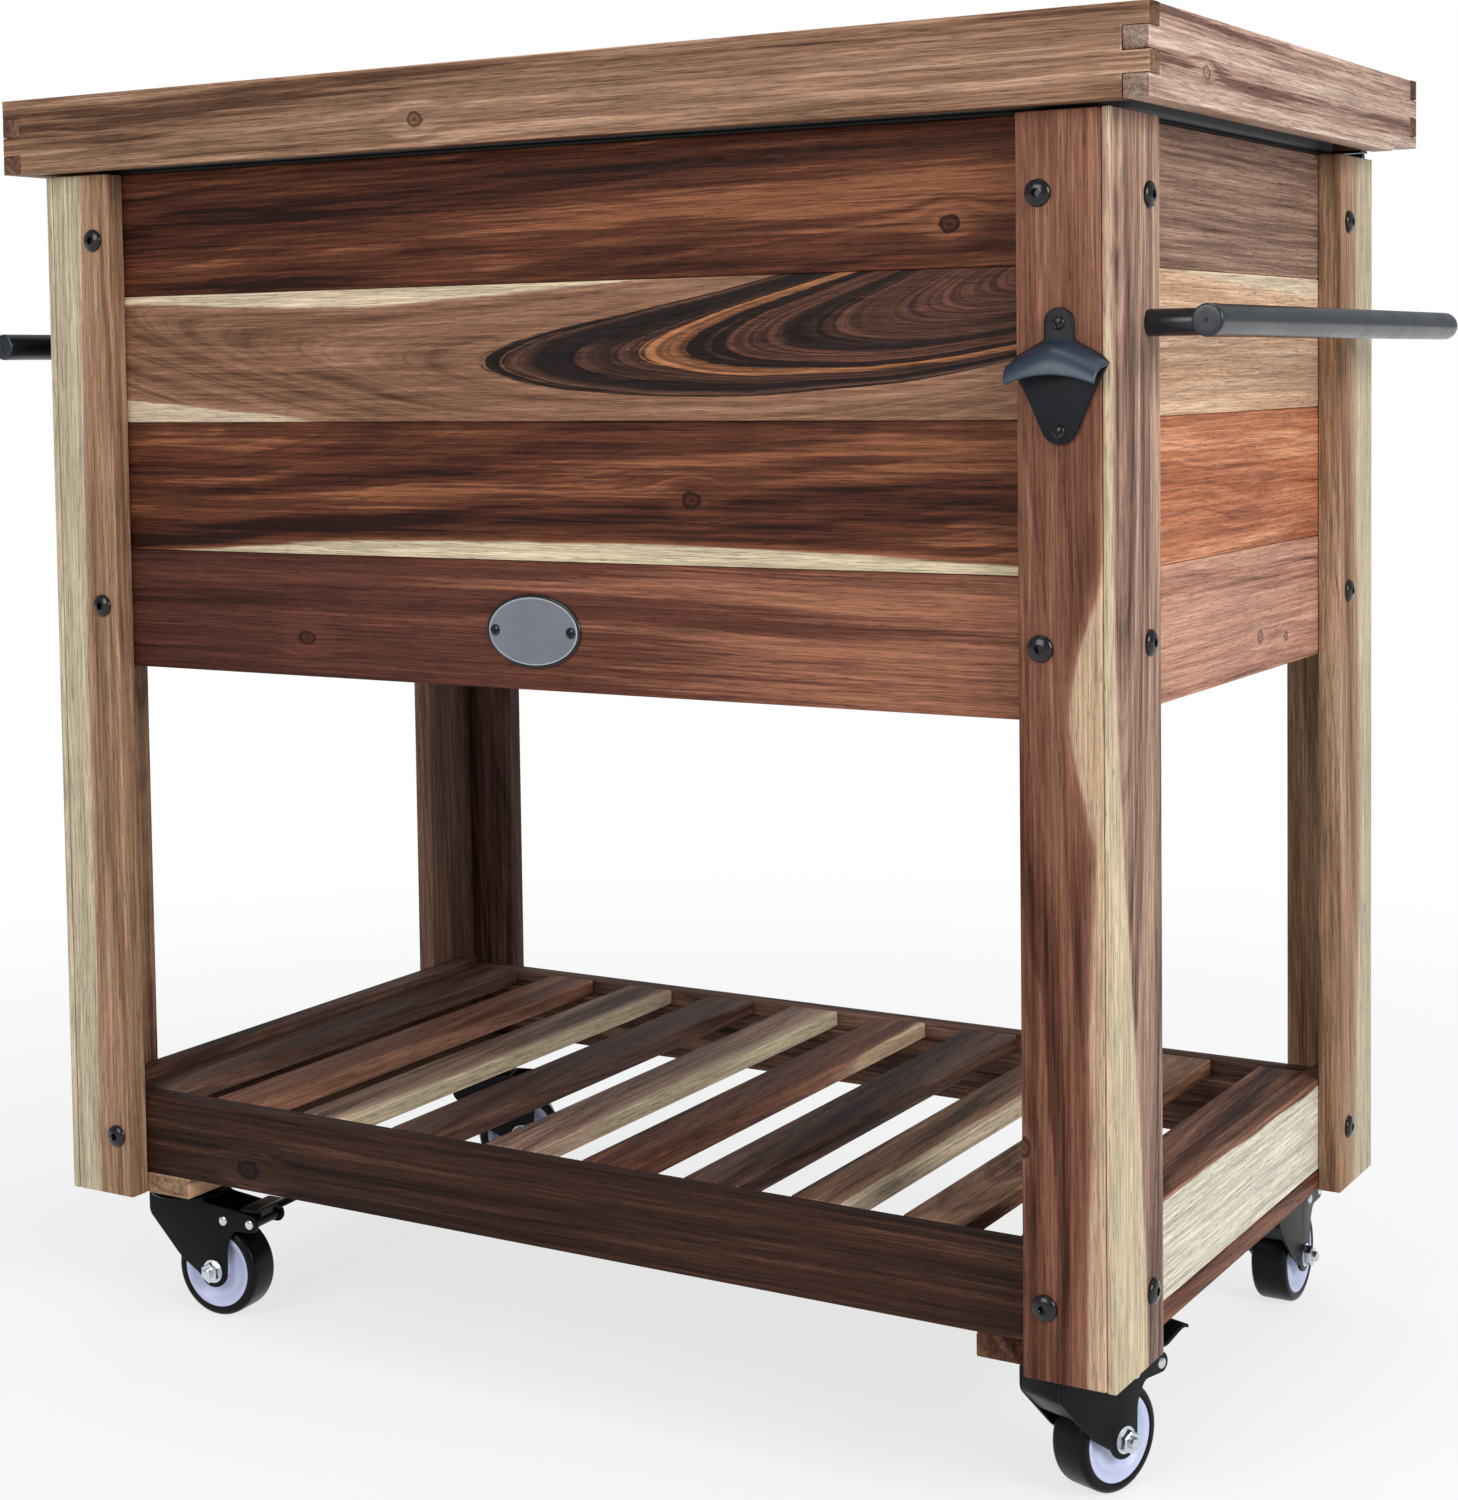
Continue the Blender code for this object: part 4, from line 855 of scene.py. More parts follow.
@dataclass
class WoodShop:
    """Makes boards of acacia and gives each its own grain.

    Attributes:
        rounding: Radius of the boards' edges.
        grain: The node group that all boards share.
    """

    rounding: float = 0.0014
    grain: AcaciaGrain = field(default_factory=AcaciaGrain)

    def material(
        self, name: str, centre: np.ndarray, axes: Sequence[Axis], figure: Figure
    ) -> bpy.types.Material:
        """The finish of one board.

        Args:
            name: Name of the board.
            centre: Middle of the board in the world.
            axes: The world axes that run along, across and through the board.
            figure: How its grain runs.

        Returns:
            The material.
        """
        material, n, shader = new_material(f"{name}_acacia")
        coordinates = n.add("TexCoord").outputs
        away = n.vector("SUBTRACT", coordinates["Object"], tuple(centre))
        group = n.add("Group")
        group.node_tree = self.grain.tree
        for target, source in (("Place", away), ("Facing", coordinates["Normal"])):
            parts = n.parts(source)
            n.feed(group.inputs[target], n.combine(*(parts[axis.value] for axis in axes)))
        n.feed(group.inputs["Wear"], n.add("Attribute", attribute_name="wear").outputs["Fac"])
        for item in fields(figure)[1:]:
            group.inputs[socket_name(item.name)].default_value = getattr(figure, item.name)
        for item in fields(figure.timber.value):
            tint = getattr(figure.timber.value, item.name)
            group.inputs[socket_name(item.name)].default_value = (*tint, 1.0)
        n.feed(shader.inputs["Base Color"], group.outputs["Colour"])
        n.feed(shader.inputs["Roughness"], group.outputs["Roughness"])
        bump = n.add("Bump", {"Strength": 0.30, "Distance": 0.0005, "Height": group.outputs["Height"]})
        n.feed(shader.inputs["Normal"], bump.outputs["Normal"])
        shader.inputs["Specular IOR Level"].default_value = 0.11
        return material

    def board(
        self,
        name: str,
        low: np.ndarray,
        high: np.ndarray,
        grain: Axis,
        figure: Figure,
        body: str,
        nodes: Sequence[str],
        outline: np.ndarray | None = None,
    ) -> bpy.types.Object:
        """One board between two corners of the world.

        Args:
            name: Name of the board.
            low: Its lowest corner.
            high: Its highest corner.
            grain: The axis that its grain runs along.
            figure: How its grain runs.
            body: The moving body that carries it.
            nodes: The solids that it stands for.
            outline: Its face seen along its thickness, from its middle, where it isn't a rectangle.

        Returns:
            The board.
        """
        size, centre = high - low, (low + high) / 2
        others = sorted((axis for axis in Axis if axis is not grain), key=lambda axis: -size[axis.value])
        across, through = others
        if outline is None:
            outline = rounded_rectangle(size[grain.value], size[across.value], self.rounding * 1.2, 2)
        shape = slab(outline, size[through.value], self.rounding)
        shape = shape.placed(centre, grain.vector(), across.vector())
        material = self.material(name, centre, (grain, across, through), figure)
        return build_piece(name, shape, material, body, nodes)


@dataclass(frozen=True)
class Coating:
    """A metal, plastic or rubber finish, with the small unevenness that the real one has, and rounded edges
    lightened as real wear and as a painted highlight.

    Attributes:
        name: Name of the finish.
        colour: Its colour.
        roughness: Its roughness.
        metallic: 1 for bare metal.
        mottle: How much its roughness and colour vary.
        grain: Scale of the fine texture.
        bump: Strength of the fine texture.
        brushed: Direction of brushing, or None.
        coat: Weight of a clear layer.
        gloss: Strength of its reflection.
    """

    name: str
    colour: Colour
    roughness: float
    metallic: float = 0.0
    mottle: float = 0.12
    grain: float = 900.0
    bump: float = 0.12
    brushed: Axis | None = None
    coat: float = 0.0
    gloss: float = 0.4

    def material(self) -> bpy.types.Material:
        """The finish as a material, made at its first use.

        Returns:
            The material.
        """
        made = bpy.data.materials.get(self.name)
        if made:
            return made
        material, n, shader = new_material(self.name)
        place = n.add("TexCoord").outputs["Object"]
        scale = [self.grain] * 3
        if self.brushed:
            scale[self.brushed.value] = self.grain / 90.0
        fine = n.noise(place, tuple(scale), 3.0, 0.6)
        slow = n.noise(place, (26.0, 26.0, 26.0), 4.0, 0.6)
        both = n.plus(n.times(fine, 0.5), n.times(slow, 0.5))
        shade = n.remap(both, 0.3, 0.7, 1.0 - self.mottle, 1.0 + self.mottle)
        # Rounded edges up to 35 % lighter, as real wear and as a painted highlight
        worn_and_lit_edge = n.times(n.add("Attribute", attribute_name="wear").outputs["Fac"], 0.35)
        tinted = n.scale((1.0, 1.0, 1.0), n.plus(shade, worn_and_lit_edge))
        colour = n.blend(1.0, self.colour, tinted, "MULTIPLY")
        n.feed(shader.inputs["Base Color"], colour)
        low, high = self.roughness * (1 - self.mottle), self.roughness * (1 + self.mottle)
        n.feed(shader.inputs["Roughness"], n.remap(slow, 0.3, 0.7, low, high))
        shader.inputs["Metallic"].default_value = self.metallic
        shader.inputs["Coat Weight"].default_value = self.coat
        shader.inputs["Coat Roughness"].default_value = 0.25
        shader.inputs["Specular IOR Level"].default_value = self.gloss
        bump = n.add("Bump", {"Strength": self.bump, "Distance": 0.0004, "Height": fine})
        n.feed(shader.inputs["Normal"], bump.outputs["Normal"])
        return material


POWDER = Coating("satin_black_powder", (0.008, 0.012, 0.018), 0.28, 0.0, 0.15, 1400.0, 0.10, gloss=0.5)
# The opener's hood: a blue-black cast colour, made lighter and bluer as a painted sky reflection
CAST_PAINTED_SHEEN = Coating("blue_black_cast_with_painted_sheen", (0.020, 0.033, 0.056), 0.34, 0.1, 0.15, 1100.0, 0.20, gloss=0.5)
# The opener's plate: the same casting, much darker and duller, as painted shade under the hood
PAINTED_SHADE_CAST = Coating("cast_dark_as_painted_shade", (0.004, 0.006, 0.009), 0.34, 0.1, 0.15, 1100.0, 0.20, gloss=0.2)
BLACK_OXIDE = Coating(
    "black_oxide_bolts", (0.005, 0.005, 0.006), 0.14, 0.0, 0.15, 1500.0, 0.04, coat=0.35, gloss=0.25
)
PRESSED = Coating("black_pressed_steel", (0.004, 0.004, 0.005), 0.34, 0.0, 0.15, 1200.0, gloss=0.12)
ZINC = Coating("bright_zinc", (0.62, 0.65, 0.70), 0.22, 1.0, 0.18, 1300.0, 0.10)
STAINLESS = Coating("brushed_stainless", (0.66, 0.67, 0.69), 0.28, 1.0, 0.04, 1800.0, 0.10, Axis.X)
LINER = Coating("lid_liner", (0.060, 0.062, 0.066), 0.60, 0.0, 0.08, 1500.0, 0.25)
# A black strip on the tub's flange that paints the shade in the gap under the lid
SHADE_STRIP_BLACK = Coating("black_painted_shade_strip", (0.012, 0.012, 0.013), 0.60, 0.0, 0.10, 1200.0, 0.15)
MOULDED = Coating("black_moulding", (0.018, 0.018, 0.020), 0.45, 0.0, 0.10, 1200.0, 0.15)
TYRE = Coating("black_tyre", (0.004, 0.004, 0.005), 0.30, 0.0, 0.15, 900.0, 0.10, coat=0.03, gloss=0.12)
CORE = Coating("lilac_core", (0.52, 0.56, 0.78), 0.30, 0.0, 0.06, 900.0, 0.05)
PLATE = Coating("grey_badge_plate", (0.175, 0.190, 0.225), 0.42, 0.5, 0.10, 1600.0, 0.10, Axis.X)
BADGE_LINE = Coating("silver_line", (0.42, 0.44, 0.47), 0.34, 0.6, 0.10, 1600.0, 0.05)
FOAM = Coating("dark_foam", (0.120, 0.125, 0.130), 0.85, 0.0, 0.15, 600.0, 0.40)


# Cabinet


@dataclass
class Cabinet:
    """Posts, walls, shelf and the tub's room, all fixed to each other.

    Attributes:
        shop: Makes the boards.
        board: Thickness of a post's boards.
        seams: Heights of the seams between the planks of a wall.
        gap: Opening between boards that touch.
        lip: How much of a side board's edge shows beside the face board.
    """

    shop: WoodShop
    board: float = 0.017
    lip: float = 0.0062
    seams: tuple[float, float, float] = (0.6019, 0.6980, 0.7930)
    gap: float = 0.00025

    def build(self) -> None:
        """Makes every board of the cabinet."""
        self.posts()
        self.walls()
        self.rails()
        self.slats()

    def posts(self) -> None:
        """The four corner posts."""
        faces = {
            "front_right": Figure(Timber.CHESTNUT, 3.1, (-2.2, -0.06, 0.06), 0.03, tilt=0.012, bands=60,
                                  contrast=1.1, bias=-0.06, fade=0.5, sap_high=(0.0229, 0.0347, 0.0372),
                                  bulge=(0.028, 0.0205, 0.095), soft=0.0026,
                                  knot=(-0.245, -0.026, 0.0036)),
            "front_left": Figure(Timber.STRAW, 4.7, (1.9, 0.06, 0.05), 0.04, contrast=1.1,
                                 sap_low=(-0.004, 0.006, 0.02), soft=0.0024),
            "back_right": Figure(Timber.STRAW, 6.2, bands=60, contrast=1.2, sap_high=(0.012, 0.0, 0.0)),
            "back_left": Figure(Timber.UMBER, 7.9, bands=50, contrast=0.9, bias=-0.25),
        }
        sides = {
            "front_right": Figure(Timber.GREY, 5.3, (1.8, -0.03, 0.04), 0.04, bands=90, contrast=1.4,
                                  bias=-0.10, fade=0.5, sap_low=(-0.0384, 0.0, 0.0),
                                  bulge=(-0.39, 0.050, 0.50), soft=0.0014),
            "front_left": Figure(Timber.STRAW, 8.6, bands=60, sap_low=(-0.02, 0.0, 0.0)),
            "back_right": Figure(Timber.STRAW, 9.4, (2.0, 0.02, 0.05), 0.04, bands=80, contrast=1.3,
                                 bias=0.12, sap_high=(-0.004, 0.008, 0.0), bulge=(-0.1, -0.012, 0.3),
                                 soft=0.004),
            "back_left": Figure(Timber.UMBER, 2.6, bands=60, contrast=0.9, bias=0.25),
        }
        for corner, face in faces.items():
            self.post(corner, face, sides[corner])

    def post(self, corner: str, face: Figure, side: Figure) -> None:
        """One post: a face board in front or behind, let into a side board that shows at its edge.

        Args:
            corner: The corner it stands at.
            face: Grain of its face board.
            side: Grain of its side board.
        """
        node = f"post_{corner}"
        low, high = corners_of(node)
        out = 1 if corner.endswith("right") else -1
        back = 1 if corner.startswith("back") else -1
        size, centre = high - low, (low + high) / 2
        half = size / 2
        face_low, face_high = low.copy(), high.copy()
        for bound, sign in ((face_low, -1), (face_high, 1)):
            bound[1] = centre[1] + back * (half[1] - (self.board if sign != back else 0.0))
            if sign == out:
                bound[0] = centre[0] + out * (half[0] - self.lip - self.gap)
        self.shop.board(f"{node}_face_board", face_low, face_high, Axis.Z, face, "cabinet", [node])
        inner = half[0] - self.board
        notch = half[1] - self.board - self.gap
        edge = half[0] - self.lip
        corners = [(half[0], -half[1]), (half[0], half[1]), (edge, half[1]), (edge, notch)]
        corners += [(inner, notch), (inner, -half[1])]
        outline = np.array(corners) * [out, back]
        outline = fillet(outline if out * back > 0 else outline[::-1], self.shop.rounding, 2)
        shape = slab(outline, size[2], self.shop.rounding * 0.6)
        shape = shape.placed(centre, X, Y)
        name = f"{node}_side_board"
        middle = centre + [out * (inner + self.board / 2), 0.0, 0.0]
        material = self.shop.material(name, middle, (Axis.Z, Axis.Y, Axis.X), side)
        build_piece(name, shape, material, "cabinet", [node])

    def walls(self) -> None:
        """Each wall: four planks edge to edge, from the top down."""
        figures = {
            "front": [
                Figure(Timber.RUST, 1.3, (1.9, -0.05, 0.03), 0.040, tilt=0.012, bands=50,
                       fade=0.40, warp=0.016, knot=(0.318, -0.019, 0.0046)),
                Figure(Timber.TAN, 2.2, (-0.040, -0.0055, 0.0), tilt=-0.020, curve=0.34, hook=164.0,
                       flame=1.0, bands=9, contrast=1.0, bias=0.10, fade=0.30, warp=0.0062,
                       sap_high=(0.0407, 0.0491, 0.1333), sap_low=(-0.0605, -0.080, 0.0), soft=0.0016),
                Figure(Timber.RUST, 3.6, (-1.6, 0.05, 0.04), 0.045, bands=45, contrast=1.5, bias=-0.02,
                       fade=0.35, warp=0.018, sap_low=(-0.0345, 0.010, -0.09), soft=0.0018,
                       knot=(0.128, -0.004, 0.0048)),
                Figure(Timber.SIENNA, 4.9, (1.7, 0.12, 0.03), 0.02, bands=60, contrast=0.65, bias=0.10,
                       fade=0.9, knot=(-0.201, -0.016, 0.0042)),
            ],
            "right": [
                Figure(Timber.GREY, 5.1, (1.2, 0.12, 0.05), 0.03, bands=50, contrast=0.8, bias=-0.08),
                Figure(Timber.WHEAT, 6.6, (-1.0, -0.10, 0.05), 0.04, tilt=0.03, bands=45, contrast=1.0,
                       bias=0.20, warp=0.016, sap_high=(0.041, -0.05, 0.0), soft=0.003),
                Figure(Timber.ORANGE, 7.7, (1.4, -0.14, 0.03), 0.05, tilt=-0.03, bands=38, contrast=1.3,
                       warp=0.030),
                Figure(Timber.PEACH, 8.8, (1.5, 0.12, 0.04), 0.04, bands=45, contrast=1.1, bias=-0.08,
                       warp=0.020, sap_high=(0.0450, 0.0, 0.3), soft=0.003,
                       knot=(0.054, -0.019, 0.0040), second_knot=(0.110, -0.024, 0.0032)),
            ],
            "left": [
                Figure(Timber.TAN, 9.1),
                Figure(Timber.RUST, 9.9, (0.1, 0.0, 0.0), tilt=0.06, hook=120.0, bands=24, warp=0.005),
                Figure(Timber.STRAW, 10.7, sap_low=(-0.036, 0.02, 0.1)),
                Figure(Timber.RUST, 11.5),
            ],
            "back": [
                Figure(Timber.TAN, 12.1, bias=-0.05),
                Figure(Timber.RUST, 12.9, (0.1, 0.01, 0.0), tilt=0.05, hook=130.0, bands=22, warp=0.005),
                Figure(Timber.HONEY, 13.6, bias=-0.08, sap_low=(-0.038, 0.0, -0.05)),
                Figure(Timber.UMBER, 14.8, knot=(-0.15, 0.01, 0.005)),
            ],
        }
        for side, planks in figures.items():
            node = f"{side}_wall"
            low, high = corners_of(node)
            levels = [high[2], *reversed(self.seams), low[2]]
            grain = Axis.X if side in ("front", "back") else Axis.Y
            for i, figure in enumerate(planks):
                plank_low, plank_high = low.copy(), high.copy()
                plank_high[2] = levels[i] - (self.gap / 2 if i else 0.0)
                plank_low[2] = levels[i + 1] + (self.gap / 2 if i < 3 else 0.0)
                name = f"{node}_plank_{i + 1}"
                self.shop.board(name, plank_low, plank_high, grain, figure, "cabinet", [node])

    def rails(self) -> None:
        """Rails round the shelf, the cleats under its slats and the boards over the casters."""
        figures = {
            "front_rail": (Axis.X, Figure(Timber.DARK, 1.9, (-1.2, 0.10, 0.04), 0.03, bands=60,
                                          contrast=1.0, fade=0.3, knot=(-0.269, -0.015, 0.0062))),
            "back_rail": (Axis.X, Figure(Timber.UMBER, 2.9)),
            "left_rail": (Axis.Y, Figure(Timber.UMBER, 3.9, contrast=1.1)),
            "right_rail": (Axis.Y, Figure(Timber.CREAM, 4.9, (1.5, -0.14, 0.04), 0.03,
                                          sap_low=(0.0310, 0.0, 0.0), soft=0.0006)),
            "front_cleat": (Axis.X, Figure(Timber.UMBER, 5.9)),
            "back_cleat": (Axis.X, Figure(Timber.UMBER, 6.9)),
            "left_caster_board": (Axis.Y, Figure(Timber.WHEAT, 7.9, contrast=1.1)),
            "right_caster_board": (Axis.Y, Figure(Timber.CHESTNUT, 8.9)),
        }
        for node, (grain, figure) in figures.items():
            low, high = corners_of(node)
            self.shop.board(f"{node}_board", low, high, grain, figure, "cabinet", [node])

    def slats(self) -> None:
        """The ten slats, each of another board."""
        figures = [
            Figure(Timber.UMBER, 1.1, contrast=1.0),
            Figure(Timber.CHESTNUT, 2.3, contrast=1.1, bias=0.20, sap_high=(0.024, 0.0, 0.0)),
            Figure(Timber.GREY, 3.2, contrast=1.2, bias=-0.18, sap_high=(0.0165, 0.02, 0.0), soft=0.004),
            Figure(Timber.UMBER, 4.1, contrast=1.0, bias=-0.08),
            Figure(Timber.GREY, 5.2, contrast=1.2, bias=-0.10, sap_high=(0.014, -0.02, 0.1), soft=0.004),
            Figure(Timber.CHESTNUT, 6.3, contrast=1.2, bias=-0.05, sap_high=(0.026, -0.05, 0.0)),
            Figure(Timber.UMBER, 7.4, contrast=1.0, bias=-0.12),
            Figure(Timber.TAN, 8.5, contrast=1.7, bias=-0.05, sap_high=(0.014, 0.0, 0.0), soft=0.004),
            Figure(Timber.TAN, 9.6, (1.2, 0.0, 0.03), 0.06, bands=80, contrast=1.8, bias=-0.05),
            Figure(Timber.CHESTNUT, 10.7),
        ]
        for i, figure in enumerate(figures):
            node = f"slat_{i + 1:02d}"
            low, high = corners_of(node)
            self.shop.board(f"{node}_board", low, high, Axis.Y, figure, "cabinet", [node])


@dataclass
class Lid:
    """The lid's finger-jointed rim, its planked top and its insulated panel.

    Attributes:
        shop: Makes the boards.
        board: Thickness of the rim.
        fingers: Fingers in each joint.
        gap: Opening between boards that touch.
        relief_rise: How far the lower edge steps up at the back.
        relief_length: Length of the raised stretch on a side board.
        relief_slope: Length of the slope before it.
        top_gap: Half of the opening between two planks of the top.
        top_planks: Planks of the top.
    """

    shop: WoodShop
    board: float = 0.017
    fingers: int = 4
    gap: float = 0.0003
    relief_rise: float = 0.0055
    relief_length: float = 0.050
    relief_slope: float = 0.012
    top_gap: float = 0.0001
    top_planks: int = 6

    def build(self) -> None:
        """Makes every piece of the lid."""
        self.rim()
        self.top()
        self.panel()

    def steps(self, height: float, first: bool) -> list[tuple[float, float]]:
        """How far in the end of a board lies, and at what height, from the bottom up.

        Args:
            height: Height of the board.
            first: Whether its lowest finger reaches the corner.

        Returns:
            Reach in from the corner and height above the board's lower edge.
        """
        notch = self.board + self.gap
        rows = [(0.0 if first else notch, 0.0)]
        for i in range(1, self.fingers):
            below_out = (i % 2 == 1) == first
            level = i * height / self.fingers - (self.gap / 2 if below_out else -self.gap / 2)
            below, above = (0.0, notch) if below_out else (notch, 0.0)
            rows += [(below, level), (above, level)]
        return [*rows, (rows[-1][0], height)]

    def rim(self) -> None:
        """The four boards of the rim."""
        figures = {
            "front": Figure(Timber.HONEY, 1.7, (1.8, -0.12, 0.03), 0.030, bands=45, contrast=1.45,
                            bias=-0.04, fade=0.18, warp=0.016, knot=(-0.071, -0.009, 0.0040)),
            "back": Figure(Timber.HONEY, 2.8, bands=60),
            "left": Figure(Timber.HONEY, 3.5, bands=60),
            "right": Figure(Timber.ROSE, 4.3, (1.5, 0.10, 0.02), 0.03, tilt=-0.02, bands=45, contrast=1.4,
                            bias=-0.12, warp=0.016, knot=(-0.183, -0.006, 0.0040)),
        }
        front_low, front_high = corners_of("lid_front_board")
        height = front_high[2] - front_low[2]
        for side, figure in figures.items():
            node = f"lid_{side}_board"
            low, high = corners_of(node)
            along = Axis.X if side in ("front", "back") else Axis.Y
            half = (high - low)[along.value] / 2
            first = side in ("left", "right")
            right = [(half - reach, level) for reach, level in self.steps(height, first)]
            left = [(-half + reach, level) for reach, level in reversed(self.steps(height, first))]
            if side != "front":
                right[0] = (right[0][0], self.relief_rise)
            if side == "back":
                left[-1] = (left[-1][0], self.relief_rise)
            step = []
            if first:
                start = half - self.relief_length
                step = [(start - self.relief_slope, 0.0), (start, self.relief_rise)]
            low[2] = front_low[2]
            outline = np.array(left + step + right) - [0.0, height / 2]
            self.shop.board(f"{node}_wood", low, high, along, figure, "lid", [node], outline)

    def top(self) -> None:
        """The top: planks glued edge to edge along the lid."""
        low, high = corners_of("lid_top_panel")
        edges = np.linspace(low[1], high[1], self.top_planks + 1)
        figures = [
            Figure(Timber.TAN, 5.5, (1.2, 0.03, 0.05), 0.05),
            Figure(Timber.HONEY, 6.1, bias=-0.05, sap_high=(0.034, 0.01, 0.0)),
            Figure(Timber.RUST, 7.2, (-0.1, 0.0, 0.0), tilt=0.03, hook=110.0, bands=20, bias=0.05,
                   warp=0.005),
            Figure(Timber.TAN, 8.1, bias=0.05, knot=(0.21, 0.01, 0.005)),
            Figure(Timber.RUST, 9.3, sap_low=(-0.036, 0.01, -0.05)),
            Figure(Timber.HONEY, 10.4, bias=-0.1),
        ]
        for i, figure in enumerate(figures):
            plank_low, plank_high = low.copy(), high.copy()
            plank_low[1] = edges[i] + (self.top_gap if i else 0.0)
            plank_high[1] = edges[i + 1] - (self.top_gap if i + 1 < len(figures) else 0.0)
            name = f"lid_top_plank_{i + 1}"
            self.shop.board(name, plank_low, plank_high, Axis.X, figure, "lid", ["lid_top_panel"])

    def panel(self) -> None:
        """The insulated panel, whose lower edges are rounded."""
        low, high = corners_of("lid_insulated_panel")
        size = high - low
        outline = rounded_rectangle(size[0], size[1], 0.022, 6)
        shape = slab(outline, size[2], 0.005, 5)
        shape = shape.placed((low + high) / 2, X, Y)
        build_piece("lid_liner_panel", shape, LINER.material(), "lid", ["lid_insulated_panel"])


@dataclass
class Tub:
    """The stainless tub with its drain.

    Attributes:
        size: Length and depth of the tub under its flange.
        corner: Radius of the upright corners.
        corner_steps: Faces round each upright corner.
        flange_corner: Radius of the flange's corners.
        sheet: Thickness of the sheet.
        lip: Radius where the flange bends down.
        floor_round: Radius where the walls meet the floor.
        bore: Radius of the drain.
        pipe: Outer radius of its spout.
    """

    size: tuple[float, float] = (0.7382, 0.4022)
    corner: float = 0.025
    corner_steps: int = 8
    flange_corner: float = 0.004
    sheet: float = 0.0015
    lip: float = 0.004
    floor_round: float = 0.012
    bore: float = 0.008
    pipe: float = 0.011

    def build(self) -> None:
        """Makes the tub, a black strip on its flange's edge that paints the shade under the lid, the drain's
        spout and its cap.
        """
        low, high = corners_of("tub")
        middle = (low + high)[:2] / 2
        flange = (high - low)[:2]
        self.liner(middle, flange, low[2], high[2])
        self.trim(middle, flange, high[2] - self.sheet)
        self.drain()

    def level(self, middle: np.ndarray, outline: np.ndarray, height: float) -> np.ndarray:
        """An outline about the tub's middle, as points at one height."""
        return np.column_stack([outline + middle, np.full(len(outline), height)])

    def liner(self, middle: np.ndarray, flange: np.ndarray, floor: float, rim: float) -> None:
        """The tub: up its outside, over its flange, and down its inside.

        At angle t the bend under the flange lies its radius times one minus sin t out from the
        wall, and the bend over the floor its radius times one minus cos t in from it.

        Args:
            middle: The tub's middle.
            flange: Length and depth over the flange.
            floor: Height of the tub's underside.
            rim: Height of its flange's top.
        """
        wide, deep = self.size
        rows = [(wide, deep, self.corner, floor), (wide, deep, self.corner, rim - self.sheet)]
        rows += [(*flange, self.flange_corner, rim - self.sheet), (*flange, self.flange_corner, rim)]
        quarter = np.radians(np.linspace(0, 90, 7))
        bends = [(self.lip * (1 - math.sin(t)), rim - self.lip * (1 - math.cos(t))) for t in quarter]
        inside = floor + self.sheet
        bends += [
            (-self.floor_round * (1 - math.cos(t)), inside + self.floor_round * (1 - math.sin(t)))
            for t in quarter
        ]
        for out, height in bends:
            grown = 2 * (out - self.sheet)
            rows.append((wide + grown, deep + grown, self.corner + out, height))
        rings = [self.level(middle, rounded_rectangle(x, y, r, self.corner_steps), z) for x, y, r, z in rows]
        around = len(rings[0])
        faces = ring_faces(len(rings), around)
        faces.append(list(range(around))[::-1])
        faces.append(list(range((len(rings) - 1) * around, len(rings) * around)))
        shape = Shape(np.concatenate(rings), faces)
        build_piece("tub_liner", shape, STAINLESS.material(), "cabinet", ["tub"], smooth=50)

    def trim(self, middle: np.ndarray, flange: np.ndarray, height: float) -> None:
        """A black strip on the flange's edge, put there as painted shade in the gap under the lid.

        Args:
            middle: The tub's middle.
            flange: Length and depth over the flange.
            height: Height of the flange's underside.
        """
        # Out from the flange's edge, and up from its underside
        section = ((-0.0050, 0.0016), (0.0001, 0.0016), (0.0002, -0.0002), (-0.0050, -0.0002))
        outline = rounded_rectangle(*flange, self.flange_corner, self.corner_steps)
        loops = [self.level(middle, inset(outline, -out), height + rise) for out, rise in section]
        faces = [face[::-1] for face in ring_faces(len(section), len(outline), loop=True)]
        shape = Shape(np.concatenate(loops), faces)
        # A black strip put where there is only shade under the lid
        build_piece("tub_painted_shade_strip", shape, SHADE_STRIP_BLACK.material(), "cabinet")

    def drain(self) -> None:
        """The drain's spout, with a flange and strainer in the tub, and a ribbed cap on its end."""
        low, high = corners_of("drain_spout")
        place = [*(low + high)[:2] / 2, 0.0]
        top, end = high[2], low[2]
        flange = top - 0.002
        profile = [
            (self.bore, top - 0.0006), (self.bore, end), (self.pipe, end), (self.pipe, flange),
            (0.020, flange), (0.020, flange + 0.0012), (0.0192, top), (self.bore + 0.0006, top),
        ]
        shape = joined([turned(profile), self.strainer(top - 0.0008)]).placed(place, X, Y)
        build_piece("drain_pipe", shape, MOULDED.material(), "cabinet", ["drain_spout"])
        low, high = corners_of("drain_cap")
        radius, foot, head = (high[0] - low[0]) / 2, low[2], high[2]
        inside = foot + 0.0032
        profile = [
            (0.0, foot), (radius - 0.002, foot), (radius, foot + 0.0015), (radius, head - 0.0008),
            (radius - 0.0008, head), (0.0115, head), (0.0115, inside), (0.0, inside),
        ]
        steps = 96
        factors = np.ones((len(profile), steps))
        factors[2:4] = 1.0 - 0.035 * (np.arange(steps) % 8 < 3)
        shape = turned(profile, steps, factors).placed(place, X, Y)
        build_piece("drain_ribbed_cap", shape, MOULDED.material(), "drain_cap", ["drain_cap"])

    def strainer(self, level: float) -> Shape:
        """A flat grid over the bore: five bars each way, with square holes between them.

        Each bar is as long as the chord of a circle at its place.

        Args:
            level: Height of the grid.

        Returns:
            The grid.
        """
        reach, width, thickness = 0.0088, 0.0012, 0.0010
        bars = []
        for place in np.linspace(-0.0066, 0.0066, 5):
            chord = 2 * math.sqrt(reach**2 - place**2)
            bar = slab(rounded_rectangle(chord, width, 0.0003, 2), thickness, 0.0002, 1)
            for across, up in ((X, Y), (Y, -X)):
                bars.append(bar.placed(np.abs(up) * place + level * Z, across, up))
        return joined(bars)


# Fittings


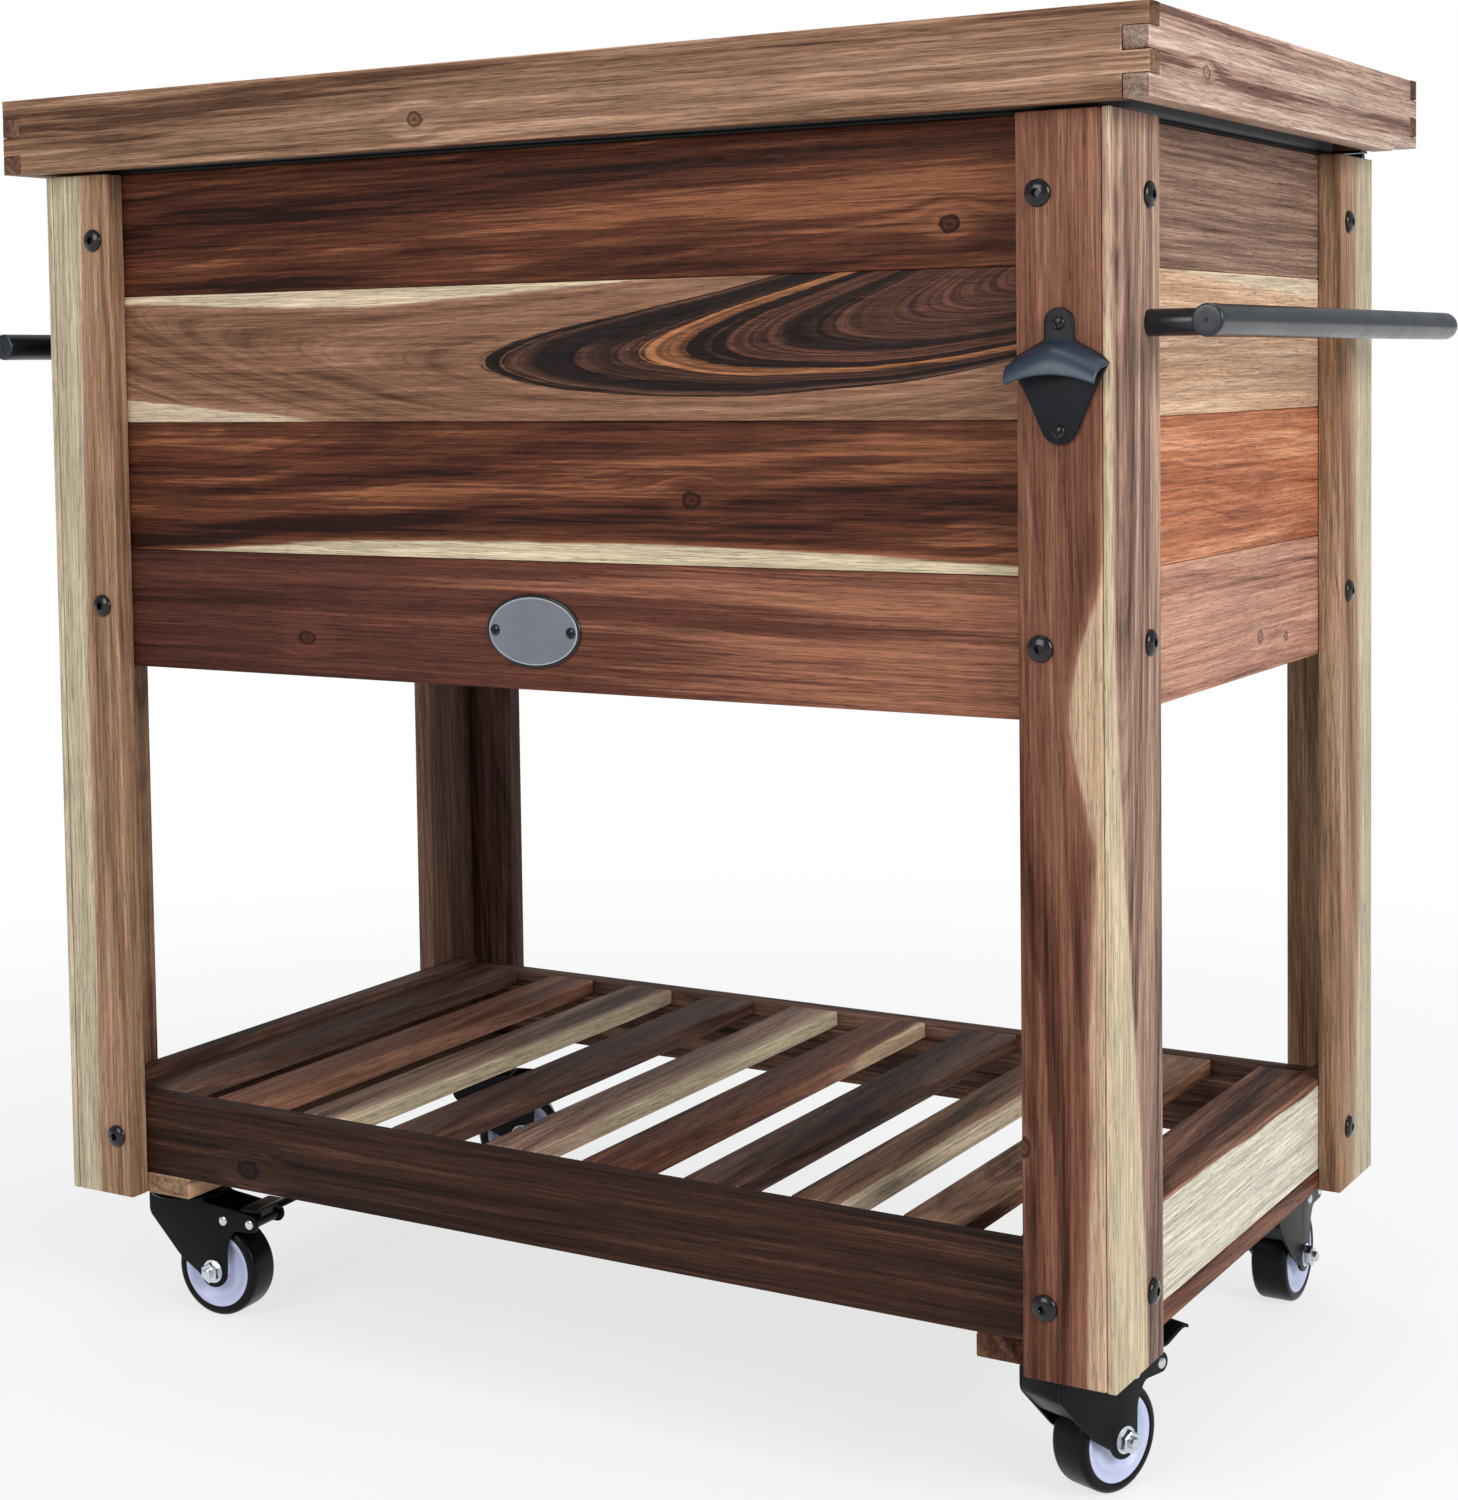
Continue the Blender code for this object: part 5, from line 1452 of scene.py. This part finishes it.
@dataclass
class Bolts:
    """Black domed bolts through the posts.

    Attributes:
        radius: Radius of a head.
        rise: Height of its dome.
        socket: Half width of the hexagonal socket across its flats.
        rows: Heights of the bolts on a post.
        across: Distance of the front and back bolts from the middle.
        margin: Distance of the side bolts from the posts' front or back.
    """

    radius: float = 0.0084
    rise: float = 0.0042
    socket: float = 0.0024
    rows: tuple[float, float, float] = (0.8355, 0.5595, 0.1505)
    across: float = 0.385
    margin: float = 0.0605

    def head(self, steps: int = 48) -> Shape:
        """One head, with its underside at height 0.

        Above its rim the dome's height is the rest of its rise times the square root of one minus
        the squared share of the radius, and its socket is a hexagon sunk into the top.

        Args:
            steps: Points round the head.

        Returns:
            The head.
        """
        radius, rim, floor = self.radius, 0.0009, 0.0010
        shares = (1.0, 0.985, 0.95, 0.89, 0.81, 0.71, 0.60, 0.50, 0.42)
        dome = [(radius * s, rim + (self.rise - rim) * math.sqrt(1 - s * s)) for s in shares]
        top = dome[-1][1]
        inner = self.socket * 1.12
        socket = [(inner * 1.06, top + 0.0001), (inner, top - 0.0004), (inner, floor), (0.0, floor)]
        profile = [(0.0, 0.0), (radius * 0.97, 0.0), (radius, 0.0004), *dome, *socket]
        factors = np.ones((len(profile), steps))
        factors[-3:-1] = polygon_factors(6, steps, 2) * 1.06
        return turned(profile, steps, factors)

    def build(self) -> None:
        """Makes the bolts of the front, back and side boards."""
        head = self.head()
        low, high = corners_of("post_front_right")
        front, back = low[1], corners_of("post_back_right")[1][1]
        margins = (front + self.margin, back - self.margin)
        sides = (-1, 1)
        spots = {
            "front": (-Y, [(side * self.across, front, z) for z in self.rows for side in sides]),
            "back": (Y, [(side * self.across, back, z) for z in self.rows for side in sides]),
            "right": (X, [(high[0], y, z) for z in self.rows for y in margins]),
            "left": (-X, [(-high[0], y, z) for z in self.rows for y in margins]),
        }
        for name, (out, places) in spots.items():
            shape = joined([head.placed(place, Z, np.cross(out, Z)) for place in places])
            material = BLACK_OXIDE.material()
            build_piece(f"{name}_bolts", shape, material, "cabinet", smooth=35)


def screw_head(radius: float, rise: float, steps: int = 40) -> Shape:
    """A small round-headed screw with a cross recess, its underside at height 0.

    Where the smaller of a point's distances from X and Y is under 0.13 of the radius and the larger
    under 0.62 of it, the point lies in the recess and drops by 0.45 of the rise.

    Args:
        radius: Radius of the head.
        rise: Height of the head.
        steps: Points round it.

    Returns:
        The head.
    """
    shares = (1.0, 0.97, 0.88, 0.74, 0.58, 0.42, 0.26)
    dome = [(radius * s, rise * (0.25 + 0.75 * math.sqrt(1 - s * s))) for s in shares]
    shape = turned([(0.0, 0.0), (radius, 0.0), *dome, (0.0, rise)], steps)
    points = shape.points
    away = np.sort(np.abs(points[:, :2]), axis=1)
    in_cross = (away[:, 0] < radius * 0.13) & (away[:, 1] < radius * 0.62) & (points[:, 2] > rise * 0.5)
    points[in_cross, 2] -= rise * 0.45
    return shape


@dataclass
class Handles:
    """The two round bars on their standoffs.

    Attributes:
        radius: Radius of a bar.
        reach: Distance of its axis from the cabinet's side.
        standoff: Radius of a standoff.
        inset: Distance of a standoff from the cabinet's front or back.
        half_depth: Half of the cabinet's depth.
    """

    radius: float = 0.010
    reach: float = 0.057
    standoff: float = 0.0085
    inset: float = 0.0605
    half_depth: float = 0.264

    def bar(self, length: float) -> Shape:
        """A bar along Z, with rounded rims, flat ends and a small dimple in each.

        Args:
            length: Length of the bar.

        Returns:
            The bar.
        """
        half, r, rim = length / 2, self.radius, 0.0016
        turn = np.radians(np.linspace(0, 90, 6))
        edge = [(r - rim + rim * math.sin(t), -half + rim * (1 - math.cos(t))) for t in turn]
        middle = [(r, z) for z in np.linspace(-half + 0.01, half - 0.01, 9)]
        end = [(0.0, -half + 0.0010), (0.0007, -half + 0.0010), (0.0012, -half), (r * 0.55, -half), *edge]
        far = [(radius, -height) for radius, height in reversed(end)]
        return turned([*end, *middle, *far], 56)

    def post(self, length: float) -> Shape:
        """A standoff along Z: a plain cylinder from height 0.

        Args:
            length: Its length.

        Returns:
            The standoff.
        """
        r = self.standoff
        return turned([(0.0, 0.0), (r, 0.0), (r, length), (0.0, length)], 44)

    def build(self) -> None:
        """Makes both handles."""
        edge = corners_of("post_front_right")[1][0]
        for side_name, side in (("right", 1), ("left", -1)):
            node = f"{side_name}_handle"
            low, high = corners_of(node)
            centre = (low + high) / 2
            centre[0] = side * (edge + self.reach)
            bar = self.bar(high[1] - low[1]).placed(centre, Z, X)
            shapes = [bar]
            for end in (-1, 1):
                y = CABINET_Y + end * (self.half_depth - self.inset)
                start = (side * (edge + 0.0003), y, centre[2])
                up = np.cross(side * X, Z)
                shapes.append(self.post(self.reach - 0.002).placed(start, Z, up))
            build_piece(f"{node}_bar", joined(shapes), POWDER.material(), "cabinet", [node])


@dataclass
class Opener:
    """The cast bottle opener on the right front post.

    Attributes:
        height: Height of its plate.
        width: Width over its hood.
        thickness: Thickness of its plate.
        reach: How far the hood's lip stands out from the plate's face.
        wall: Thickness of the hood.
        tab: Radius of its upper tab.
        toe: Radius of its lower end.
        screws: Heights of its two screws above the floor.
    """

    height: float = 0.0826
    width: float = 0.0654
    thickness: float = 0.003
    reach: float = 0.0173
    wall: float = 0.0025
    tab: float = 0.0097
    toe: float = 0.0123
    screws: tuple[float, float] = (0.7572, 0.6916)

    def outline(self) -> np.ndarray:
        """Front of the plate: a round tab, shoulders that widen to the hood, and a rounded toe.

        Returns:
            Corners measured from the middle of its top edge, turning left.
        """
        half = self.width / 2
        drops = (0.235, 0.290, 0.345, 0.405, 0.500, 0.620, 0.770)
        widths = (0.297, 0.560, 0.830, 0.985, 0.850, 0.680, 0.500)
        right = [(w * half, -d * self.height) for w, d in zip(widths, drops)]
        top = arc_points((0.0, -self.tab), self.tab, 90.0, 0.0, 8)
        bottom = arc_points((0.0, self.toe - self.height), self.toe, -20.0, -90.0, 8)
        side = np.concatenate([top, right, bottom])
        other = side[1:-1][::-1] * [-1, 1]
        return np.concatenate([side, other])[::-1]

    def hood(self) -> Shape:
        """The hood: a sheet from the plate out to an arched lip, with rounded walls at its ends.

        Across the hood u runs from -1 to 1 and out from the plate v runs from 0 to 1. The root
        falls away from the middle with u to the power 1.4, the lip with u squared, and half a sine
        of v lifts the sheet between them. Root and lip are given as shares of the plate's height
        below its top. A second sheet lies below by the wall's thickness.

        Returns:
            The closed hood, X across, Y out of the plate and Z up, from the middle of the top edge.
        """
        across, out = 41, 17
        u, v = np.meshgrid(np.linspace(-1, 1, across), np.linspace(0, 1, out))
        half, height = self.width / 2, self.height
        root = -(0.235 + 0.170 * np.abs(u) ** 1.4) * height
        lip = -(0.490 + 0.070 * u**2) * height
        rise = 0.0036 * np.sin(math.pi * v) * (1 - 0.35 * u**2)
        ease = np.sin(v * math.pi / 2) ** 0.9
        x = u * half * (1.0 - 0.115 * v)
        y = ease * (self.reach - 0.0006) * (1 - 0.05 * u**2)
        z = root + (lip - root) * v + rise
        top = np.stack([x, y, z], -1)
        step_u, step_v = np.gradient(top, axis=1), np.gradient(top, axis=0)
        normal = np.cross(step_u, step_v)
        normal /= np.linalg.norm(normal, axis=-1, keepdims=True)
        below = top - normal * self.wall
        below[..., 1] = np.maximum(below[..., 1], -0.0008)
        grid = np.concatenate([top.reshape(-1, 3), below.reshape(-1, 3)])
        count = across * out
        row, col = np.meshgrid(np.arange(out - 1), np.arange(across - 1), indexing="ij")
        a = (row * across + col).reshape(-1)
        quads = np.stack([a, a + 1, a + across + 1, a + across], -1)
        faces = quads.tolist() + (quads[:, ::-1] + count).tolist()
        rim = [*range(across), *range(2 * across - 1, count, across)]
        rim += [*range(count - 2, count - across - 1, -1), *range(count - 2 * across, 0, -across)]
        for here, there in zip(rim, rim[1:] + rim[:1]):
            faces.append((there, here, here + count, there + count))
        return Shape(grid, faces)

    def build(self) -> None:
        """Makes the opener and its two screws; the plate's darker finish is painted shade under the hood, and
        the hood's lighter, bluer one a painted sky reflection.
        """
        low, high = corners_of("bottle_opener")
        x, top = (low[0] + high[0]) / 2, high[2]
        face = high[1] - self.thickness
        out = -Y
        plate = slab(self.outline(), self.thickness, 0.0009, 4)
        plate = plate.placed((x, high[1] - self.thickness / 2, top), X, Z)
        hood = self.hood()
        axes = np.stack([X, out, Z])
        hood.points = hood.points @ axes + [x, face, top]
        # One casting in two finishes: painted shade on the plate, painted sky reflection on the hood
        build_piece("opener_plate", plate, PAINTED_SHADE_CAST.material(), "cabinet", ["bottle_opener"])
        piece = build_piece("opener_hood", hood, CAST_PAINTED_SHEEN.material(), "cabinet", ["bottle_opener"], smooth=50)
        bevel = piece.modifiers.new("rounded_lip", "BEVEL")
        bevel.width = 0.0008
        bevel.segments = 2
        screws = [screw_head(0.0043, 0.0022).placed((x, face, z), X, Z) for z in self.screws]
        build_piece("opener_screws", joined(screws), BLACK_OXIDE.material(), "cabinet")


@dataclass
class Badge:
    """The bare oval badge: a grey plate in a raised black rim, with two screws.

    Attributes:
        screw_reach: Distance of each screw from the middle.
        rim_width: Half of the rim's width.
        rim_rise: Half of its thickness.
    """

    screw_reach: float = 0.0314
    rim_width: float = 0.0013
    rim_rise: float = 0.0009

    def build(self) -> None:
        """Makes the plate, its rim and its screws."""
        low, high = corners_of("badge")
        centre = (low + high) / 2
        half = (high - low) / 2
        angle = np.linspace(0, math.tau, 73)[:-1]
        oval = np.column_stack([half[0] * np.cos(angle), half[2] * np.sin(angle)])
        # Name, finish, margin, thickness, rounding and its steps, distance ahead of the back
        layers = (
            ("badge_plate", PLATE, 0.0022, 0.0014, 0.0002, 2, 0.0007),
            ("badge_line", BADGE_LINE, 0.0022, 0.0004, 0.0001, 1, 0.0015),
            ("badge_face", PLATE, 0.0032, 0.0004, 0.0001, 1, 0.0017),
        )
        for name, finish, margin, thickness, rounding, steps, depth in layers:
            shape = slab(inset(oval, margin), thickness, rounding, steps)
            shape = shape.placed((centre[0], high[1] - depth, centre[2]), X, Z)
            build_piece(name, shape, finish.material(), "cabinet", ["badge"])
        turn = np.radians(np.linspace(0, 330, 12))
        rings = [(self.rim_width * (1 - math.cos(t)), self.rim_rise * math.sin(t)) for t in turn]
        loops = [np.column_stack([inset(oval, margin), np.full(len(oval), z)]) for margin, z in rings]
        rim = Shape(np.concatenate(loops), ring_faces(len(loops), len(oval), loop=True))
        rim = rim.placed((centre[0], low[1] + 0.0010, centre[2]), X, Z)
        build_piece("badge_rim", rim, BLACK_OXIDE.material(), "cabinet", ["badge"])
        screws = [
            screw_head(0.0040, 0.0020).placed((side * self.screw_reach, low[1] + 0.0006, centre[2]), X, Z)
            for side in (-1, 1)
        ]
        build_piece("badge_screws", joined(screws), BLACK_OXIDE.material(), "cabinet")


# Casters

# Profiles of radius and height, from the part's own underside or the board above the caster
RACE = ((0.0, -0.0083), (0.0195, -0.0083), (0.0225, -0.0074), (0.0240, -0.0056), (0.0240, -0.0026),
        (0.0, -0.0026))
CROWN = ((0.0, -0.0121), (0.029, -0.0121), (0.0315, -0.0114), (0.032, -0.0100), (0.0312, -0.0090),
         (0.027, -0.0086), (0.0, -0.0086))
NUT = ((0.0, 0.0), (0.0072, 0.0), (0.0078, 0.0005), (0.0078, 0.0056), (0.0068, 0.0064),
       (0.0041, 0.0064), (0.0040, 0.0092), (0.0030, 0.0098), (0.0, 0.0098))
WASHER = ((0.0, 0.0), (0.0090, 0.0), (0.0090, 0.0009), (0.0, 0.0009))
RIVET = ((0.0, 0.0), (0.0038, 0.0), (0.0035, 0.0010), (0.0022, 0.0016), (0.0, 0.0018))
# The core's radius and how far it stands out of the tyre's side, from the hub outwards
CORE_FACE = ((0.0042, 0.0011), (0.0082, 0.0011), (0.0088, 0.0005), (0.0092, -0.0020), (0.0104, -0.0040),
             (0.0130, -0.0052), (0.0190, -0.0052), (0.0222, -0.0042), (0.0244, -0.0022), (0.0262, -0.0010))
# The fork's front web from the side, along the trail and up from the legs' upper edge
FORK_WEB = ((-0.0278, 0.0), (-0.0278, -0.018), (-0.0118, -0.034), (-0.0093, -0.034), (-0.0253, -0.018),
            (-0.0253, 0.0))


class Corner(Enum):
    """The four casters, with the direction in which each trails, in degrees from X."""

    FRONT_LEFT = 4.0
    FRONT_RIGHT = 71.0
    BACK_LEFT = 40.0
    BACK_RIGHT = 90.0

    @property
    def label(self) -> str:
        """The corner's name as the solids spell it."""
        return self.name.lower()


@dataclass
class Caster:
    """One swivel caster with its brake, measured from its swivel axis at the board above it.

    Attributes:
        corner: Which caster it is.
        trail: Distance of the axle behind the swivel axis.
        wheel: Radius of the wheel.
        width: Width of the wheel.
        drop: How far the axle lies below the board.
        core: Radius of the pale core.
        steel: Thickness of the fork's sheet.
        leg_in: Distance of a leg's inner face from the middle.
        crown: How far the legs' upper edge lies below the board.
        pivot: Distance of the pedal's pivot behind the swivel axis, and its height.
        spread: Distance of the swivel axes from the cabinet's middle, across and in depth.
        board_height: Height of the board above the casters.
    """

    corner: Corner
    trail: float = 0.033
    wheel: float = 0.0365
    width: float = 0.028
    drop: float = 0.0675
    core: float = 0.0293
    steel: float = 0.0025
    leg_in: float = 0.0155
    crown: float = 0.0103
    pivot: tuple[float, float] = (0.069, -0.026)
    spread: tuple[float, float] = (0.3722, 0.196)
    board_height: float = 0.104
    origin: np.ndarray = field(init=False)
    along: np.ndarray = field(init=False)
    side: np.ndarray = field(init=False)

    def __post_init__(self) -> None:
        """Works out where the caster stands and which way it trails."""
        angle = math.radians(self.corner.value)
        x = self.spread[0] * (1 if self.corner.label.endswith("right") else -1)
        y = self.spread[1] * (1 if self.corner.label.startswith("back") else -1) + CABINET_Y
        self.origin = np.array([x, y, self.board_height])
        self.along = np.array([math.cos(angle), math.sin(angle), 0.0])
        self.side = np.array([-math.sin(angle), math.cos(angle), 0.0])

    def at(self, trail: float, side: float, height: float) -> np.ndarray:
        """A point of the caster in the world."""
        return self.origin + self.along * trail + self.side * side + np.array([0.0, 0.0, height])

    def build(self) -> None:
        """Makes every piece of the caster."""
        self.top_plate()
        self.fork()
        self.rolling()
        self.pedal()

    def standing(self, shape: Shape, middle: np.ndarray) -> Shape:
        """Carries a shape whose X runs along the trail and whose Y is up to a place on the caster."""
        return shape.placed(middle, self.along, Z)

    def top_plate(self) -> None:
        """The plate under the board, its bearing race and its four screws."""
        plate = slab(rounded_rectangle(0.062, 0.080, 0.006, 4), 0.0025, 0.0005, 2)
        plate = plate.placed(self.origin + [0, 0, -0.00155], X, Y)
        race = turned(RACE).placed(self.origin, X, Y)
        screws = []
        screw = screw_head(0.0046, 0.0022, 24)
        for x in (-0.021, 0.021):
            for y in (-0.030, 0.030):
                screws.append(screw.placed(self.origin + [x, y, -0.0028], X, -Y))
        node = f"caster_plate_{self.corner.label}"
        build_piece(f"{node}_steel", joined([plate, race]), PRESSED.material(), "cabinet", [node])
        build_piece(f"{node}_screws", joined(screws), ZINC.material(), "cabinet")

    def leg_outline(self) -> np.ndarray:
        """A leg from the side: its front edge, the boss round the axle, and the arm at the pivot.

        Returns:
            Corners along the trail and up from the board, turning left.
        """
        top, boss, arm = -self.crown, 0.013, 0.0072
        neck = self.trail + boss
        under = self.pivot[1] - arm
        return fillet(np.concatenate([
            [(-0.028, top), (-0.028, top - 0.018), (0.002, -0.060)],
            arc_points((self.trail, -self.drop), boss, 200.0, 345.0, 10),
            [(neck, under - boss), (neck + arm, under)],
            arc_points(self.pivot, arm, -70.0, 70.0, 8),
            [(0.026, top - 0.0035), (0.0235, top)],
        ]), 0.004, 3)

    def fork(self) -> None:
        """The pressed fork: crown, two legs, front web, axle and rivets."""
        leg = slab(self.leg_outline(), self.steel, 0.0006, 3)
        middle = self.leg_in + self.steel / 2
        legs = [self.standing(leg, self.at(0.0, sign * middle, 0.0)) for sign in (-1, 1)]
        crown = turned(CROWN, 56).placed(self.origin, X, Y)
        slope = [(trail, drop - self.crown) for trail, drop in FORK_WEB]
        web = slab(fillet(slope, 0.003, 3), 2 * middle, 0.0003, 2)
        label = self.corner.label
        node = f"caster_fork_{label}"
        steel = joined([*legs, crown, self.standing(web, self.origin)])
        build_piece(f"{node}_steel", steel, PRESSED.material(), f"fork_{label}", [node])
        factors = np.ones((len(NUT), 48))
        factors[1:5] = polygon_factors(6, 48, 4)
        nut, washer, rivet = turned(NUT, 48, factors), turned(WASHER, 40), turned(RIVET, 28)
        bright = []
        for sign in (-1, 1):
            face = sign * (self.leg_in + self.steel)
            out = sign * self.side
            up = np.cross(out, self.along)
            axle = self.at(self.trail, face, -self.drop)
            bright.append(nut.placed(axle + out * 0.0003, self.along, up))
            bright.append(washer.placed(axle, self.along, up))
            for trail, height in ((0.044, -0.0262), self.pivot):
                bright.append(rivet.placed(self.at(trail, face, height), self.along, up))
        build_piece(f"{node}_bolt", joined(bright), ZINC.material(), f"fork_{label}")

    def rolling(self) -> None:
        """The tyre and its core, turned about the axle."""
        label = self.corner.label
        node = f"caster_wheel_{label}"
        middle = self.at(self.trail, 0.0, -self.drop)
        half, bend = self.width / 2, 0.0042
        turn = np.radians(np.linspace(0, 90, 7))
        rim, side = self.wheel - bend, half - bend
        shoulder = [(rim + bend * math.sin(t), side + bend * math.cos(t)) for t in turn]
        inner = [(-0.0006, -0.0012), (0.0005, -0.0002), (0.0014, 0.0)]
        right = [*((self.core + out, half + rise) for out, rise in inner), *shoulder]
        tyre = turned([*((radius, -height) for radius, height in right), *right[::-1]], 96)
        tyre = self.standing(tyre, middle)
        build_piece(f"{node}_tyre", tyre, TYRE.material(), f"wheel_{label}", [node])
        face = [(radius, half + rise) for radius, rise in (*CORE_FACE, (self.core, -0.0006))]
        core = turned([*((radius, -height) for radius, height in face), *face[::-1]], 96)
        core = self.standing(core, middle)
        build_piece(f"{node}_core", core, CORE.material(), f"wheel_{label}", [node], smooth=30)

    def pedal(self) -> None:
        """The brake pedal: a bent pad on a barrel, with a short web between."""
        label = self.corner.label
        node = f"caster_pedal_{label}"
        pivot = self.at(self.pivot[0], 0.0, self.pivot[1])
        knee, end, rise = 0.012, 0.029, 0.0207
        top = [(-0.0087, knee), (0.0064, knee), (0.020, 0.0190)]
        top += [(end - 0.004, rise - 0.0004), (end, rise - 0.0022)]
        under = [(end - 0.0006, rise - 0.0046), (end - 0.0046, rise - 0.0030), (0.0205, 0.0164)]
        under += [(0.0070, knee - self.steel), (-0.0087, knee - self.steel)]
        pad = slab(fillet((top + under)[::-1], 0.0022, 3), 0.036, 0.0007, 3)
        barrel = turned([(0.0, -0.0152), (0.0045, -0.0152), (0.0045, 0.0152), (0.0, 0.0152)], 32)
        seat = knee - 0.0012
        section = np.array([(-0.0045, seat), (-0.0025, 0.0), (0.0025, 0.0), (0.0045, seat)])
        web = slab(section, 0.016, 0.0002, 1)
        steel = joined([self.standing(shape, pivot) for shape in (pad, web, barrel)])
        build_piece(f"{node}_steel", steel, PRESSED.material(), f"pedal_{label}", [node])


def dress_plain_nodes() -> None:
    """Gives the solids that are shown as they are their finishes."""
    leaves = [f"{side}_hinge_{carrier}_leaf" for carrier in ("cabinet", "lid") for side in ("left", "right")]
    finishes = {**dict.fromkeys(leaves, POWDER), "insulation_shell": FOAM}
    for node, finish in finishes.items():
        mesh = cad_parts[node].data
        mesh.materials.clear()
        mesh.materials.append(finish.material())
        LOG.info("%s: kept as a solid", node)


# Studio


@dataclass
class Studio:
    """Pale floor, soft lamps and the camera.

    Attributes:
        eye: Where the camera stands.
        heading: Angle to the left of straight back, in degrees.
        pitch: Angle above level, in degrees.
        roll: Turn about the view, in degrees.
        lens: Focal length on a 36 mm sensor.
        shift: Shift of the frame across and up.
        sky: Colour of the light from all round.
    """

    eye: Point = (1.024, -1.7373, 0.7316)
    heading: float = 31.0
    pitch: float = -3.3
    roll: float = -0.8
    lens: float = 62.91
    shift: tuple[float, float] = (0.022, -0.1523)
    sky: Colour = (0.93, 0.96, 1.0)

    def build(self) -> None:
        """Makes the camera, the floor, the world and the lamps."""
        self.camera()
        self.floor()
        self.world()
        self.lamps()

    def camera(self) -> None:
        """The camera, at the photograph's place."""
        yaw, pitch, roll = (math.radians(a) for a in (self.heading, self.pitch, self.roll))
        back, right = np.array([[-math.sin(yaw), math.cos(yaw), 0.0], [math.cos(yaw), math.sin(yaw), 0.0]])
        forward = math.cos(pitch) * back + math.sin(pitch) * Z
        up = np.cross(right, forward)
        right_rolled = math.cos(roll) * right + math.sin(roll) * up
        up_rolled = -math.sin(roll) * right + math.cos(roll) * up
        data = bpy.data.cameras.new("photo_camera")
        data.lens = self.lens
        data.sensor_width = 36.0
        data.sensor_fit = "AUTO"
        data.shift_x, data.shift_y = self.shift
        data.clip_start, data.clip_end = 0.05, 60.0
        camera = bpy.data.objects.new("photo_camera", data)
        matrix = np.eye(4)
        matrix[:3] = np.column_stack([right_rolled, up_rolled, -forward, self.eye])
        camera.matrix_world = Matrix(matrix.tolist())
        bpy.context.scene.collection.objects.link(camera)
        bpy.context.scene.camera = camera

    def floor(self) -> None:
        """A pale floor, white to the camera except where the cooler shades it."""
        mesh = bpy.data.meshes.new("studio_floor")
        size = 14.0
        corners = [(-size, -size, 0), (size, -size, 0), (size, size, 0), (-size, size, 0)]
        mesh.from_pydata(corners, [], [(0, 1, 2, 3)])
        floor = bpy.data.objects.new("studio_floor", mesh)
        floor.location.z = FLOOR_Z
        bpy.context.scene.collection.objects.link(floor)
        material, n, shader = new_material("pale_floor")
        shader.inputs["Base Color"].default_value = (0.86, 0.86, 0.86, 1.0)
        shader.inputs["Roughness"].default_value = 0.9
        path = n.add("LightPath").outputs
        seen = n.math("MAXIMUM", path["Is Camera Ray"], path["Is Glossy Ray"])
        glow = n.add("Emission", {"Color": (1.0, 1.0, 1.0, 1.0), "Strength": 1.0})
        reach = n.vector("LENGTH", n.add("TexCoord").outputs["Object"])
        share = n.times(seen, n.remap(reach, 0.75, 1.9, 0.72, 1.0))
        mixed = n.add("MixShader", {0: share, 1: shader.outputs[0], 2: glow.outputs[0]})
        output = material.node_tree.nodes["Material Output"]
        n.feed(output.inputs["Surface"], mixed.outputs[0])
        mesh.materials.append(material)

    def world(self) -> None:
        """A pale world, white to the camera."""
        world = bpy.data.worlds.new("studio_world")
        bpy.context.scene.world = world
        world.use_nodes = True
        n = Nodes(world.node_tree)
        background = world.node_tree.nodes["Background"]
        path = n.add("LightPath").outputs
        strength = n.remap(path["Is Camera Ray"], 0.0, 1.0, 0.40, 1.0)
        n.feed(background.inputs["Strength"], strength)
        colour = n.blend(path["Is Camera Ray"], self.sky, (1.0, 1.0, 1.0))
        n.feed(background.inputs["Color"], colour)

    def lamps(self) -> None:
        """Soft lamps: one to the right, one to the left in front, and one overhead."""
        # Name, place, what it points at, size, power in watts, colour
        lamps = [
            ("right_softbox", (3.2, -1.2, 1.8), (0.0, 0.0, 0.55), (1.6, 1.6), 84.0, (1.0, 0.98, 0.96)),
            ("front_softbox", (-0.6, -3.4, 1.9), (0.0, 0.0, 0.5), (1.8, 1.8), 52.0, (1.0, 0.98, 0.95)),
            ("top_softbox", (0.2, 0.2, 3.2), (0.0, 0.0, 0.0), (2.2, 2.2), 42.0, (0.95, 0.98, 1.0)),
        ]
        for name, place, target, size, power, colour in lamps:
            data = bpy.data.lights.new(name, "AREA")
            data.shape = "RECTANGLE"
            data.size, data.size_y = size
            data.energy = power
            data.color = colour
            lamp = bpy.data.objects.new(name, data)
            away = Vector(place) - Vector(target)
            turn = away.to_track_quat("Z", "Y").to_matrix().to_4x4()
            lamp.matrix_world = Matrix.Translation(place) @ turn
            bpy.context.scene.collection.objects.link(lamp)


def main() -> None:
    """Builds the cooler and its studio."""
    logging.basicConfig(level=logging.INFO, format="%(message)s")
    bpy.context.scene.view_settings.view_transform = "Standard"
    Studio().build()
    shop = WoodShop()
    Cabinet(shop).build()
    Lid(shop).build()
    Tub().build()
    Bolts().build()
    Handles().build()
    Opener().build()
    Badge().build()
    for corner in Corner:
        Caster(corner).build()
    dress_plain_nodes()
    LOG.info("%d pieces", len(PIECES))


if __name__ == "__main__":
    main()
